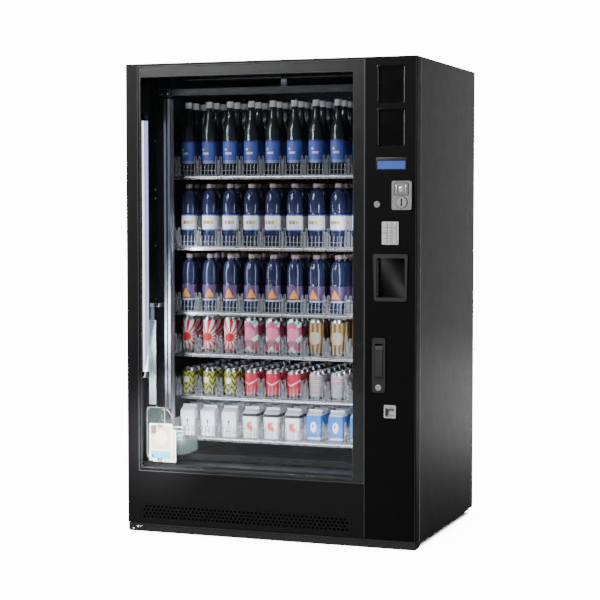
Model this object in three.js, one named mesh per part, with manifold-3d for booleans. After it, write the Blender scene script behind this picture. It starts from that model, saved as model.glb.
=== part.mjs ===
// Glass-front drinks vending machine: an insulated cabinet with six lane shelves, a lift that carries
// a delivery cup across and up, and a hinged front door with the glass and the control panel.
// Millimetres, +Z up, the front faces -Y. The origin is on the floor, at the middle of the footprint.
import * as THREE from "three";
import { mergeVertices } from "three/addons/utils/BufferGeometryUtils.js";
import Module from "manifold-3d";

const wasm = await Module();
wasm.setup();

// ---------------------------------------------------------------- driving dimensions
// Inside the machine group, x runs to the right, y is the depth behind the door's front face, z is up.
const WIDTH = 1180;
const HEIGHT = 1830;
const DEPTH = 850; // from the door's front face to the cabinet's back
const PROUD = 10; // how far the coin plate stands out of the door's front face
const GAP = 0.3; // clearance left between pieces that touch
const SHEET = 2; // steel sheet thickness
const PAST = 1; // how far a cutting body runs past the face that it opens
const HALF = WIDTH / 2;

const CABINET = { front: 56, bottom: 24, lip: 22 };
const CAVITY = { side: 566, z: [262, 1795], gantryBack: 236, shelfX: [-506, 346], shelfBack: 806 };
const BAY = { x: [376, 564], front: 262 }; // electronics bay beside the shelves, open at the back
const LINER_BOTTOM = 236;
const VENTS = { columns: 6, rows: 4, x: -420, z: 70, pitchX: 100, pitchZ: 30, size: [70, 8] };

const INLET = { x: [430, 480], z: [60, 100], depth: 24, wall: 2, plug: [18, 10], plugDepth: 16 };

const BASE = { x: 575, y: [66, 842], bottom: 10, pan: [23, 26], wall: 3, boss: 44 };
const FEET = { x: 530, y: [112, 796], stem: 7, pad: 22, padTop: 6, neck: 15, neckTop: 8.5, height: 22 };
const KICK = { y: [2, 4], z: [3, 32], x: 588, flange: 20, lugX: [530, 560] };

const HINGE = { x: -578, y: 34, arm: 7, pin: 5, top: [1815, 1819], bottom: [12, 22], reach: 14 };
const HINGE_NOTCH = { y: 20, x: -563, slack: 3 };

const DOOR = { thickness: 50, bottom: 34, panelX: 391, skin: 2, backSheet: 2 };
const GLASS = { x: [-543, 388], z: [239.5, 1822], y: [1.5, 29.5] };
const SIGHT = { x: [-536, 341], z: [254, 1779] };
const SPLAY = 24; // how much wider the opening gets behind the glass, on the lamp's side
const LOWER_POCKET = { x: [-560, 386], z: [38, 234] };
const GRILLE = { x: [-538, 341], z: [50, 112] };
const GASKET = { x: 577, z: [239, 1815], width: 12, y: [50, 56] };
const PANEL = { thickness: 3, modulePocketDepth: 48 };
const CORNER = { module: 2, tunnel: 4 }; // corner radii of the bodies that pass through the panel
const PORT_REAR_CUT = { x: [424, 559], z: [929, 1246] };
const CHANGER_REAR_CUT = { x: [476, 562], z: [546, 884] };

const WINDOWS = { x: [435, 545], depth: 16, recess: 11, rim: 4, radius: 6 };
const WINDOW_HEIGHTS = { window_upper: [1656, 1798], window_lower: [1497, 1639] };
const DISPLAY = { x: [433, 551], z: [1412, 1459], proud: 2.3, inset: 4, depth: 18, radius: 3 };
const COIN = { x: [495, 572], z: [1265, 1372], proud: 7, inset: 5, depth: 14, radius: 7 };
const COIN_SLOT = { centre: [533.5, 1293], radius: 20.5, proud: 10, width: 3.6, height: 30 };
const RETURN = { x: [507, 559], z: [1320, 1364], proud: 10, thick: 5, travel: 3.5, stem: 4, radius: 4 };
const LOCK = { centre: [437, 1286], ring: 12, plug: 8, proud: 4, depth: 22, keyway: [2, 10], keyDepth: 6 };
const CAM = { length: 30, width: 14, y: [16, 19] };
const KEYPAD = { x: [457, 521], z: [1137, 1222], proud: 4, inset: 3, depth: 12, radius: 4 };
const KEY = { size: [14.4, 15], pitch: [18.4, 19.6], y: [-6.5, 2], pocket: 4.5, chamfer: 1.4 };
const PORT = { x: [423, 557], z: [927, 1102], proud: 5, taper: 4, radius: 8 };
const PORT_MOUTH = { x: [437, 546], z: [941, 1087], radius: 6 };
const PORT_TUNNEL = { x: [426, 556], z: [930, 1099], back: 94 };
const SHUTTER = { x: [431.5, 551.5], y: [22, 26], z: [937, 1091], slack: 0.5 };
const SHUTTER_ARM = { top: 1240, wall: 5, width: 10, depth: 4 };
const HANDLE = { x: [420, 472], z: [586, 790], proud: 5, depth: 18, radius: 10 };
const HANDLE_WELL = { x: [431, 463], z: [639, 768], floor: 16, wall: 3 };
const LEVER = { x: [432, 462], pivot: [4, 756], length: 115, eye: 8, front: -7, pin: 2.7 };
const GRIP = { back: 2, chamfer: 6, foot: -4, footFront: 3, toe: 5, shoulder: 12, crown: 2 };
const HANDLE_LOCK = { centre: [445, 605], plug: 8, depth: 14, proud: 6, boss: 10 };
const CUP = { x: [466, 513], z: [492, 541], proud: 3, inset: 3, depth: 40, wall: 3, radius: 5 };
const CHANGER = { x: [478, 560], y: [10, 94], z: [548, 880], split: 748, step: 14 };
const CHUTE = { x: [560, 574], y: [16, 34], z: [860, 1262], funnelX: 526, funnelZ: 1244 };

const SHELF_RAILS = [1392, 1108, 846, 678, 507, 340]; // height of each shelf's front rail
const LANES = { count: 9, pitch: 91, first: -488, divider: 3, dividerTop: 50, side: 4, back: 6 };
const SHELF = { front: 246, back: 800, lip: 6, side: 20, sheet: 3, railDepth: 4, railInset: 20 };
const GATE = { width: 26, y: [251, 255], top: 85 };

const RAIL = { x: 560, y: [172, 198], top: [1716, 1742], bottom: [268, 290] };
const RAIL_FOOT = { x: 545, width: 24, inset: 8 };
const MAST = { x: [-503, -476], y: [160, 200], z: [292, 1714] };
const MAST_GROOVE = { width: 6, depth: 8, inset: 40 };
const SADDLE = { x: [-520, -477], height: 14, wall: 7 };
const GUIDE = { x: [-550, -522], y: [116, 122], z: [490, 894], neckX: [-545, -528], neckZ: 820 };
const GUIDE_ARM = { height: 14, x: [-515, -507], thick: 8, y: [168, 180] };
const CUP_CARRIAGE = { x: [-503, -472.3], y: [126, 157], z: [310, 470], armX: [-499, -481], arm: 20 };
const BUCKET = { x: [-472, -392], y: [98, 232], floor: [296, 300], wall: 3, leftTop: 430, rightTop: 352 };
const BUCKET_PLATE = { x: [-553, -474], z: [279, 481], radius: 8 };
const GUARD = { left: -476, nose: 326, bend: 404 };
const BUCKET_RODS = { z: [372, 388, 404], y: 112, radius: 2, right: -398, post: 3, margin: 4 };
const TUBE = { centre: [-546, 76], radius: 13, z: [601, 1637], cap: 24, capRadius: 14, arm: 16 };

const COOLING = { deckX: [-520, 260], deckY: [72, 836], deckZ: [26.3, 30] };
const COMPRESSOR = { centre: [-330, 560], radius: 78, height: 168, taper: 12, flare: 20, dome: 40 };
const CONDENSER = { x: [-60, 240], y: [86, 122], z: [29, 205], fins: 14, groove: 6, header: 12 };
const FAN = { centre: [90, 117], hub: 20, tip: 68, ring: [74, 82], hubY: [137, 158] };
const BLADE = { count: 5, chord: 30, thickness: 2.5, pitch: Math.PI / 6, root: 6 };
const MOTOR = { radius: 24, y: [172, 222], shaft: 4, shaftTip: 141, bracket: 16, bracketInset: 8 };

// ---------------------------------------------------------------- finishes
const SATIN_BLACK = { color: 0x0b0b0c, roughness: 0.42, metalness: 0.5 };
const DEEP_BLACK = { color: 0x060607, roughness: 0.6, metalness: 0.1 };
const LINER_NAVY = { color: 0x0d1016, roughness: 0.55, metalness: 0.1 };
const MOULDED_GREY = { color: 0x1b1c1e, roughness: 0.5, metalness: 0.1 };
const ALUMINIUM = { color: 0xb9bdc0, roughness: 0.35, metalness: 0.9 };
const DIE_CAST = { color: 0xa9acae, roughness: 0.4, metalness: 0.9 };
const RUBBER = { color: 0x101011, roughness: 0.85, metalness: 0 };
const CLEAR = { color: 0xc8dcd8, roughness: 0.08, metalness: 0, transparent: true, opacity: 0.3 };
const GLASS_FINISH = { color: 0x9fb4ba, roughness: 0.03, metalness: 0, transparent: true, opacity: 0.2 };
const LAMP_WHITE = { color: 0xf1f4fb, roughness: 0.4, metalness: 0 };
const GLOSS_BLACK = { color: 0x050506, roughness: 0.08, metalness: 0.1 };

// ---------------------------------------------------------------- solid helpers
/** Turns a closed three.js geometry into a solid that can be joined and cut. */
function toSolid(geometry) {
  geometry.deleteAttribute("normal");
  geometry.deleteAttribute("uv");
  const merged = mergeVertices(geometry, 1e-4);
  return new wasm.Manifold(
    new wasm.Mesh({
      numProp: 3,
      vertProperties: merged.attributes.position.array,
      triVerts: new Uint32Array(merged.index.array),
    }),
  );
}

/** Turns a solid back into a three.js geometry. */
function toGeometry(solid) {
  const mesh = solid.getMesh();
  const geometry = new THREE.BufferGeometry();
  geometry.setAttribute("position", new THREE.BufferAttribute(mesh.vertProperties, 3));
  geometry.setIndex(new THREE.BufferAttribute(mesh.triVerts, 1));
  geometry.computeVertexNormals();
  return geometry;
}

const join = (solids) => solids.reduce((sum, solid) => sum.add(solid));
const cut = (base, tools) => tools.reduce((rest, tool) => rest.subtract(tool), base);
const middle = ([low, high]) => (low + high) / 2;
const span = ([low, high]) => high - low;
const grow = ([low, high], by) => [low - by, high + by];

/** A box between the given x, y and z limits. */
function block(x, y, z) {
  const box = new THREE.BoxGeometry(span(x), span(y), span(z));
  return toSolid(box.translate(middle(x), middle(y), middle(z)));
}

/** A shape drawn in x and z, extruded between two depths. */
function slab(shape, y, segments = 2) {
  const geometry = new THREE.ExtrudeGeometry(shape, {
    depth: span(y),
    bevelEnabled: false,
    curveSegments: segments,
  });
  return toSolid(geometry.rotateX(Math.PI / 2).translate(0, y[1], 0));
}

/** A rounded rectangle in x and z; its lower end can be narrower by taper on each side. */
function roundedShape(x, z, radius, taper = 0) {
  const shape = new THREE.Shape();
  const [left, right] = x;
  const [bottom, top] = z;
  const quarter = Math.PI / 2;
  shape.absarc(right - taper - radius, bottom + radius, radius, -quarter, 0);
  shape.absarc(right - radius, top - radius, radius, 0, quarter);
  shape.absarc(left + radius, top - radius, radius, quarter, 2 * quarter);
  shape.absarc(left + taper + radius, bottom + radius, radius, 2 * quarter, 3 * quarter);
  return shape;
}

const roundedSlab = (x, y, z, radius, taper = 0) => slab(roundedShape(x, z, radius, taper), y);

/** A prism between two heights, from its corners as [x, y] pairs. */
function prism(corners, z) {
  const shape = new THREE.Shape(corners.map(([x, y]) => new THREE.Vector2(x, y)));
  const geometry = new THREE.ExtrudeGeometry(shape, { depth: span(z), bevelEnabled: false });
  return toSolid(geometry.translate(0, 0, z[0]));
}

/** A round bar along the depth. */
function spindle([x, z], radius, y, segments = 24) {
  const bar = new THREE.CylinderGeometry(radius, radius, span(y), segments);
  return toSolid(bar.translate(x, middle(y), z));
}

/** An upright round post. */
function post([x, y], radius, z, segments = 20) {
  const bar = new THREE.CylinderGeometry(radius, radius, span(z), segments);
  return toSolid(bar.rotateX(Math.PI / 2).translate(x, y, middle(z)));
}

/** A round bar along the width. */
function rod([y, z], radius, x, segments = 12) {
  const bar = new THREE.CylinderGeometry(radius, radius, span(x), segments);
  return toSolid(bar.rotateZ(Math.PI / 2).translate(middle(x), y, z));
}

/** A body turned about the vertical, from a profile of [radius, height] pairs, bottom to top. */
function turned(profile, [x, y], segments = 24) {
  const points = profile.map(([radius, height]) => new THREE.Vector2(radius, height));
  return toSolid(new THREE.LatheGeometry(points, segments).rotateX(Math.PI / 2).translate(x, y, 0));
}

/** Adds one named piece to its group. */
function addPiece(group, name, solid, finish, [x, y, z] = [0, 0, 0]) {
  const mesh = new THREE.Mesh(toGeometry(solid), new THREE.MeshStandardMaterial(finish));
  mesh.name = name;
  mesh.position.set(x, y, z);
  group.add(mesh);
}

// ---------------------------------------------------------------- cabinet
/** A hinge arm with a rounded end at the hinge line, reaching back to the given depth. */
function hingeArm(z, back) {
  const arm = block([HINGE.x - HINGE.arm, HINGE.x + HINGE.arm], [HINGE.y, back], z);
  return arm.add(post([HINGE.x, HINGE.y], HINGE.arm, z));
}

/** The folded outer skin: two sides, the top, the front lip that the gasket seals on, and a hinge arm. */
function outerCasing() {
  const front = CABINET.front;
  const mouth = HALF - CABINET.lip;
  const lipDepth = [front - PAST, front + SHEET + PAST];
  const shell = cut(block([-HALF, HALF], [front, DEPTH], [CABINET.bottom, HEIGHT]), [
    block(
      [-HALF + SHEET, HALF - SHEET],
      [front + SHEET, DEPTH + PAST],
      [CABINET.bottom - PAST, HEIGHT - SHEET],
    ),
    block([-mouth, mouth], lipDepth, [CAVITY.z[0] - SHEET, CAVITY.z[1] + SHEET]),
    block([-mouth, mouth], lipDepth, [CABINET.bottom - PAST, LINER_BOTTOM]),
  ]);
  const pin = [HINGE.top[0] - HINGE.reach, HINGE.top[0] + PAST];
  return join([
    shell,
    hingeArm(HINGE.top, front + SHEET / 2),
    post([HINGE.x, HINGE.y], HINGE.pin, pin),
  ]);
}

/** The foamed inner shell, with the lift's space in front, the shelf space and the electronics bay. */
function insulatedLiner() {
  const front = CABINET.front + SHEET + GAP;
  const x = [-HALF + SHEET + GAP, HALF - SHEET - GAP];
  const back = DEPTH - 2 * SHEET - GAP;
  return cut(block(x, [front, back], [LINER_BOTTOM, HEIGHT - SHEET - GAP]), [
    block([-CAVITY.side, CAVITY.side], [front - PAST, CAVITY.gantryBack], CAVITY.z),
    block(CAVITY.shelfX, [CAVITY.gantryBack - PAST, CAVITY.shelfBack], CAVITY.z),
    block(BAY.x, [BAY.front, back + PAST], CAVITY.z),
  ]);
}

/** The rear sheet, with slots for the warm air and a recessed power inlet. */
function backPanel() {
  const y = [DEPTH - SHEET - GAP, DEPTH - GAP];
  const edge = HALF - SHEET - 2 * GAP;
  const slots = [];
  for (let column = 0; column < VENTS.columns; column++) {
    for (let row = 0; row < VENTS.rows; row++) {
      const x = VENTS.x + column * VENTS.pitchX;
      const z = VENTS.z + row * VENTS.pitchZ;
      slots.push(block([x, x + VENTS.size[0]], grow(y, PAST), [z, z + VENTS.size[1]]));
    }
  }
  const sheet = block([-edge, edge], y, [BASE.pan[1] + GAP, HEIGHT - SHEET - GAP]);
  const housing = block(INLET.x, [y[1] - INLET.depth, y[1]], INLET.z);
  const floor = y[1] - INLET.depth + INLET.wall;
  const recess = block(grow(INLET.x, -INLET.wall), [floor, y[1] + PAST], grow(INLET.z, -INLET.wall));
  const plugX = grow([middle(INLET.x), middle(INLET.x)], INLET.plug[0]);
  const plugZ = grow([middle(INLET.z), middle(INLET.z)], INLET.plug[1]);
  const plug = block(plugX, [floor - PAST, floor + INLET.plugDepth], plugZ);
  return cut(sheet.add(housing), [...slots, recess]).add(plug);
}

/** The base: a pan on a recessed skirt, a threaded boss over each foot, and the lower hinge arm. */
function baseFrame() {
  const edge = HALF - SHEET - 2 * GAP;
  const skirtZ = [BASE.bottom, BASE.pan[0] + PAST];
  const skirt = cut(block([-BASE.x, BASE.x], BASE.y, skirtZ), [
    block(grow([-BASE.x, BASE.x], -BASE.wall), grow(BASE.y, -BASE.wall), grow(skirtZ, PAST)),
  ]);
  const parts = [block([-edge, edge], grow(BASE.y, 4), BASE.pan), skirt];
  const bores = [];
  for (const x of [-FEET.x, FEET.x]) {
    for (const y of FEET.y) {
      const half = BASE.boss / 2;
      parts.push(block([x - half, x + half], [y - half, y + half], skirtZ));
      bores.push(post([x, y], FEET.stem + GAP, [0, BASE.pan[1] + PAST]));
    }
  }
  parts.push(hingeArm(HINGE.bottom, BASE.y[0] + PAST));
  const pinTop = DOOR.bottom + HINGE.reach;
  parts.push(post([HINGE.x, HINGE.y], HINGE.pin, [HINGE.bottom[1] - PAST, pinTop]));
  return cut(join(parts), bores);
}

/** The plate that closes the gap under the door, on two lugs that reach back to the base. */
function kickPlate() {
  const [front, inner] = KICK.y;
  const sheet = inner - front;
  const top = KICK.z[1];
  const parts = [
    block([-KICK.x, KICK.x], KICK.y, KICK.z),
    block([-KICK.x, KICK.x], [front, KICK.flange], [top - sheet, top]),
  ];
  for (const side of [-1, 1]) {
    const outer = side < 0 ? [-KICK.x, -KICK.x + sheet] : [KICK.x - sheet, KICK.x];
    const lug = side < 0 ? [-KICK.lugX[1], -KICK.lugX[0]] : KICK.lugX;
    const arm = [lug[0], lug[0] + sheet];
    const lugZ = [KICK.z[0] + sheet, BASE.pan[0] - PAST];
    const seat = BASE.y[0] - GAP;
    parts.push(block(outer, [front, CABINET.front - PAST], KICK.z));
    parts.push(block(arm, [front, seat], lugZ));
    parts.push(block(lug, [seat - sheet, seat], lugZ));
  }
  return join(parts);
}

/** A levelling foot: a pad on the floor and a threaded stem. */
function levellingFoot() {
  const { stem, pad, padTop, neck, neckTop, height } = FEET;
  const edge = 2;
  const profile = [
    [0, 0],
    [pad - edge, 0],
    [pad, edge],
    [pad, padTop],
    [neck, neckTop],
    [stem, neckTop],
    [stem, height],
    [0, height],
  ];
  return turned(profile, [0, 0], 16);
}

/** The cooling unit: its deck, the compressor, the finned condenser, the fan ring and the fan motor. */
function coolingUnit() {
  const deckTop = COOLING.deckZ[1];
  const { radius, height, centre, taper, flare } = COMPRESSOR;
  const shoulder = radius - taper;
  const top = deckTop + height;
  const dome = [
    [0, deckTop - PAST],
    [shoulder, deckTop - PAST],
    [radius, deckTop + flare],
    [radius, top - COMPRESSOR.dome],
    [shoulder, top - taper],
    [radius / 3, top],
    [0, top],
  ];
  const finPitch = span(CONDENSER.x) / (CONDENSER.fins + 1);
  const grooves = [];
  for (let fin = 1; fin <= CONDENSER.fins; fin++) {
    const x = CONDENSER.x[0] + fin * finPitch;
    const y = [CONDENSER.y[0] - PAST, middle(CONDENSER.y)];
    grooves.push(block(grow([x, x], CONDENSER.groove / 2), y, grow(CONDENSER.z, -CONDENSER.header)));
  }
  const ringY = [CONDENSER.y[1] - PAST, FAN.hubY[1]];
  const throat = spindle(FAN.centre, FAN.ring[0], [CONDENSER.y[1], ringY[1] + PAST], 32);
  const bracketX = grow([FAN.centre[0], FAN.centre[0]], MOTOR.bracket / 2);
  const bracketY = grow(MOTOR.y, -MOTOR.bracketInset);
  return cut(
    join([
      block(COOLING.deckX, COOLING.deckY, COOLING.deckZ),
      turned(dome, centre),
      cut(block(CONDENSER.x, CONDENSER.y, CONDENSER.z), grooves),
      spindle(FAN.centre, FAN.ring[1], ringY, 32),
      spindle(FAN.centre, MOTOR.radius, MOTOR.y),
      block(bracketX, bracketY, [deckTop - PAST, FAN.centre[1]]),
    ]),
    [throat],
  ).add(spindle(FAN.centre, MOTOR.shaft, [MOTOR.shaftTip, MOTOR.y[0] + PAST], 12));
}

/** The condenser fan: a hub on the motor's shaft with pitched blades. */
function condenserFan() {
  const length = FAN.tip - FAN.hub + BLADE.root;
  const parts = [spindle([0, 0], FAN.hub, FAN.hubY)];
  for (let i = 0; i < BLADE.count; i++) {
    const blade = new THREE.BoxGeometry(length, BLADE.thickness, BLADE.chord).rotateX(BLADE.pitch);
    blade.translate(FAN.tip - length / 2, middle(FAN.hubY), 0).rotateY((i * 2 * Math.PI) / BLADE.count);
    parts.push(toSolid(blade));
  }
  const bore = spindle([0, 0], MOTOR.shaft + GAP, [MOTOR.shaftTip - PAST, FAN.hubY[1] + PAST], 12);
  return cut(join(parts), [bore]);
}

/** The upright lamp at the left of the display, held to the side wall by its two end caps. */
function lightTube() {
  const [low, high] = TUBE.z;
  const parts = [post(TUBE.centre, TUBE.radius, grow(TUBE.z, -TUBE.cap / 2))];
  const wall = -CAVITY.side + GAP;
  for (const z of [[low, low + TUBE.cap], [high - TUBE.cap, high]]) {
    parts.push(post(TUBE.centre, TUBE.capRadius, z));
    parts.push(block([wall, TUBE.centre[0]], grow([TUBE.centre[1], TUBE.centre[1]], TUBE.arm / 2), z));
  }
  return join(parts);
}

/** A cross rail of the lift, with three feet that meet the liner at the given height. */
function liftRail(z, wall) {
  const rail = block([-RAIL.x, RAIL.x], RAIL.y, z);
  const foot = wall > z[1] ? [z[1] - PAST, wall] : [wall, z[0] + PAST];
  const feet = [-1, 0, 1].map((side) => {
    const x = side * RAIL_FOOT.x;
    return block(grow([x, x], RAIL_FOOT.width / 2), grow(RAIL.y, -RAIL_FOOT.inset), foot);
  });
  return join([rail, ...feet]);
}

// ---------------------------------------------------------------- shelves
const laneEdges = Array.from({ length: LANES.count + 1 }, (_, i) => LANES.first + i * LANES.pitch);

/** A shelf tray about its front rail's centre line: pan, front rail and upturned side flanges. */
function shelfTray() {
  const x = grow(CAVITY.shelfX, -GAP);
  const pan = [-SHELF.lip, -SHELF.lip + SHELF.sheet];
  const side = [-SHELF.lip, SHELF.side];
  const y = [SHELF.front, SHELF.back];
  return join([
    block(x, y, pan),
    block([x[0] + SHELF.railInset, x[1]], [y[0], y[0] + SHELF.railDepth], [-SHELF.lip, SHELF.lip]),
    block([x[0], x[0] + SHELF.sheet], y, side),
    block([x[1] - SHELF.sheet, x[1]], y, side),
  ]);
}

/** The clear lane inserts of one shelf: floor, dividers and the gates at the lane mouths. */
function laneGuides() {
  const floorZ = [-SHELF.lip + SHELF.sheet + GAP, 0];
  const y = [GATE.y[0], SHELF.back - LANES.back];
  const room = grow(CAVITY.shelfX, -LANES.side);
  const within = ([low, high]) => [Math.max(low, room[0]), Math.min(high, room[1])];
  const parts = [block(room, y, floorZ)];
  for (const x of laneEdges) {
    parts.push(block(grow([x, x], LANES.divider / 2), y, [floorZ[0], LANES.dividerTop]));
    parts.push(block(within(grow([x, x], GATE.width / 2)), GATE.y, [floorZ[0], GATE.top]));
  }
  return join(parts);
}

// ---------------------------------------------------------------- lift
/** A carriage that saddles a cross rail in front and behind, joined on the mast's side of the rail. */
function railSaddle(z) {
  const [front, back] = RAIL.y;
  const slack = [front - SHEET, back + SHEET];
  const plate = SADDLE.height - SHEET;
  const channel = z[0] < middle(MAST.z) ? [z[0] - PAST, z[1] - plate] : [z[0] + plate, z[1] + PAST];
  return cut(block(SADDLE.x, grow(slack, SADDLE.wall), z), [
    block(grow(SADDLE.x, PAST), slack, channel),
  ]);
}

/** The mast with its two rail saddles, the front groove, and the flat cable guide on its left. */
function liftMast() {
  const centre = middle(MAST.x);
  const groove = block(
    grow([centre, centre], MAST_GROOVE.width / 2),
    [MAST.y[0] - PAST, MAST.y[0] + MAST_GROOVE.depth],
    grow(MAST.z, -MAST_GROOVE.inset),
  );
  const lowSaddle = [RAIL.bottom[0], RAIL.bottom[1] + SADDLE.height];
  const highSaddle = [RAIL.top[0] - SADDLE.height, RAIL.top[1]];
  const arm = [GUIDE.z[1] - GUIDE_ARM.height, GUIDE.z[1]];
  return cut(
    join([
      block(MAST.x, MAST.y, [lowSaddle[1] - SHEET, highSaddle[0] + SHEET]),
      railSaddle(lowSaddle),
      railSaddle(highSaddle),
      block(GUIDE.x, GUIDE.y, [GUIDE.z[0], GUIDE.neckZ]),
      block(GUIDE.neckX, GUIDE.y, [GUIDE.neckZ - PAST, GUIDE.z[1]]),
      block([GUIDE.neckX[0], middle(GUIDE_ARM.x)], [GUIDE.y[0], GUIDE.y[0] + GUIDE_ARM.thick], arm),
      block(GUIDE_ARM.x, [GUIDE.y[0], GUIDE_ARM.y[1]], arm),
      block([GUIDE_ARM.x[0], MAST.x[0] + PAST], GUIDE_ARM.y, arm),
    ]),
    [groove],
  );
}

/** The block that runs on the front of the mast and carries the cup. */
function cupCarriage() {
  const [low, high] = CUP_CARRIAGE.z;
  const { armX, arm } = CUP_CARRIAGE;
  const reach = [BUCKET.y[0] + BUCKET.wall + GAP, CUP_CARRIAGE.y[0] + PAST];
  return join([
    block(CUP_CARRIAGE.x, CUP_CARRIAGE.y, CUP_CARRIAGE.z),
    block(armX, reach, [low, low + arm]),
    block(armX, reach, [high - arm, high]),
  ]);
}

/** The clear delivery cup: back-open bay, fan-shaped front guard, tall left plate and three rods. */
function deliveryCup() {
  const [left, right] = BUCKET.x;
  const [front, back] = BUCKET.y;
  const wall = BUCKET.wall;
  const guard = new THREE.Shape();
  guard.moveTo(GUARD.left, BUCKET.floor[0]);
  guard.lineTo(right, BUCKET.floor[0]);
  guard.lineTo(right, GUARD.nose);
  guard.quadraticCurveTo(right, GUARD.bend, GUARD.left, BUCKET.leftTop);
  const leftZ = [BUCKET.floor[0], BUCKET.leftTop];
  const rightZ = [BUCKET.floor[0], BUCKET.rightTop];
  return join([
    roundedSlab(BUCKET_PLATE.x, [front, front + wall], BUCKET_PLATE.z, BUCKET_PLATE.radius),
    slab(guard, [front, front + wall], 10),
    block([left, left + wall], [front + PAST, back], leftZ),
    block([right - wall, right], [front + PAST, back], rightZ),
    block(BUCKET.x, [front + PAST, back], BUCKET.floor),
    ...BUCKET_RODS.z.map((z) =>
      rod([BUCKET_RODS.y, z], BUCKET_RODS.radius, [left + PAST, BUCKET_RODS.right], 8),
    ),
    block(
      [BUCKET_RODS.right - PAST, BUCKET_RODS.right + BUCKET_RODS.post],
      [front + PAST, BUCKET_RODS.y + BUCKET_RODS.margin],
      [BUCKET.floor[0], BUCKET_RODS.z[2] + BUCKET_RODS.margin],
    ),
  ]);
}

// ---------------------------------------------------------------- door
/** The welded door: stile, rails and skin, with the glass rebate and the module pocket cut out. */
function doorFrame() {
  const back = DOOR.thickness;
  const bottom = DOOR.bottom;
  const pocketX = [DOOR.panelX, HALF - DOOR.skin];
  const pocketZ = [bottom + DOOR.skin, HEIGHT - DOOR.skin];
  const rearCut = [back - DOOR.backSheet - PAST, back + PAST];
  const notch = grow(HINGE.top, HINGE_NOTCH.slack);
  const bore = HINGE.pin + 2 * GAP;
  const ledge = [SIGHT.x[0] + PAST, GLASS.y[1]];
  const splay = [ledge, [ledge[0], back + PAST], [SIGHT.x[0] - SPLAY, back + PAST]];
  return cut(block([-HALF, HALF], [0, back], [bottom, HEIGHT]), [
    prism(splay, SIGHT.z),
    block(GLASS.x, [-PAST, GLASS.y[1] + PAST], GLASS.z),
    block(SIGHT.x, [GLASS.y[1], back + PAST], SIGHT.z),
    block([DOOR.panelX, HALF + PAST], [-PAST, PANEL.thickness + GAP], [bottom - PAST, HEIGHT + PAST]),
    block(pocketX, [PANEL.thickness, PANEL.modulePocketDepth], pocketZ),
    block(PORT_REAR_CUT.x, rearCut, PORT_REAR_CUT.z),
    block(CHANGER_REAR_CUT.x, rearCut, CHANGER_REAR_CUT.z),
    block(LOWER_POCKET.x, [DOOR.skin, back + PAST], LOWER_POCKET.z),
    block(GRILLE.x, [-PAST, DOOR.skin + PAST], GRILLE.z),
    block([-HALF - PAST, HINGE_NOTCH.x], [HINGE_NOTCH.y, back + PAST], notch),
    post([HINGE.x, HINGE.y], bore, [HINGE.top[0] - HINGE.reach - SHEET, HINGE.top[0]]),
    post([HINGE.x, HINGE.y], bore, [bottom - PAST, bottom + HINGE.reach + SHEET]),
  ]);
}

/** The full-height control plate, with a cut-out for each module and a raised ring round the lock. */
function controlPanel() {
  const y = [0, PANEL.thickness];
  const through = grow(y, PROUD);
  const opening = (x, z, radius) => roundedSlab(grow(x, GAP), through, grow(z, GAP), radius);
  const inset = ({ x, z, inset: by }) => opening(grow(x, -by), grow(z, -by), CORNER.module);
  const plate = block([DOOR.panelX + GAP, HALF], y, [DOOR.bottom, HEIGHT]);
  const ring = spindle(LOCK.centre, LOCK.ring, [1 - LOCK.proud, PAST]);
  const openings = Object.values(WINDOW_HEIGHTS).map((z) => opening(WINDOWS.x, z, WINDOWS.radius));
  return cut(plate.add(ring), [
    ...openings,
    inset(DISPLAY),
    inset(COIN),
    inset(KEYPAD),
    inset(CUP),
    opening(PORT_TUNNEL.x, PORT_TUNNEL.z, CORNER.tunnel),
    opening(grow(HANDLE_WELL.x, HANDLE_WELL.wall), grow(HANDLE_WELL.z, HANDLE_WELL.wall), CORNER.tunnel),
    spindle(LOCK.centre, LOCK.plug + GAP, through),
    spindle(HANDLE_LOCK.centre, HANDLE_LOCK.boss, through),
  ]);
}

/** The sealed door gasket, a square ring between the door's back and the cabinet's lip. */
function doorGasket() {
  const y = grow(GASKET.y, -GAP);
  const x = [-GASKET.x, GASKET.x];
  return cut(block(x, y, GASKET.z), [
    block(grow(x, -GASKET.width), grow(y, PAST), grow(GASKET.z, -GASKET.width)),
  ]);
}

/** A recessed blanking window of the control panel. */
function recessedWindow(z) {
  const mouth = grow(WINDOWS.x, -WINDOWS.rim);
  return cut(roundedSlab(WINDOWS.x, [0, WINDOWS.depth], z, WINDOWS.radius), [
    roundedSlab(mouth, [-PAST, WINDOWS.recess], grow(z, -WINDOWS.rim), WINDOWS.radius),
  ]);
}

/** A module with a flange in front of the panel and a body through it. */
function flanged({ x, z, proud, inset, depth, radius }) {
  return join([
    roundedSlab(x, [-proud, -GAP], z, radius),
    roundedSlab(grow(x, -inset), [-GAP - PAST, depth], grow(z, -inset), CORNER.module),
  ]);
}

/** The cast coin plate, with the round slot boss and the seat of the return button. */
function coinPlate() {
  const [x, z] = COIN_SLOT.centre;
  const { width, height } = COIN_SLOT;
  const seatBack = RETURN.thick - RETURN.proud + RETURN.travel;
  return cut(flanged(COIN).add(spindle(COIN_SLOT.centre, COIN_SLOT.radius, [-COIN_SLOT.proud, 0], 28)), [
    block(grow([x, x], width / 2), [-COIN_SLOT.proud - PAST, COIN.depth + PAST], grow([z, z], height / 2)),
    roundedSlab(RETURN.x, [-RETURN.proud - PAST, seatBack + GAP], RETURN.z, RETURN.radius),
    spindle([middle(RETURN.x), middle(RETURN.z)], RETURN.stem + GAP, [-PROUD, COIN.depth + PAST], 12),
  ]);
}

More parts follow.
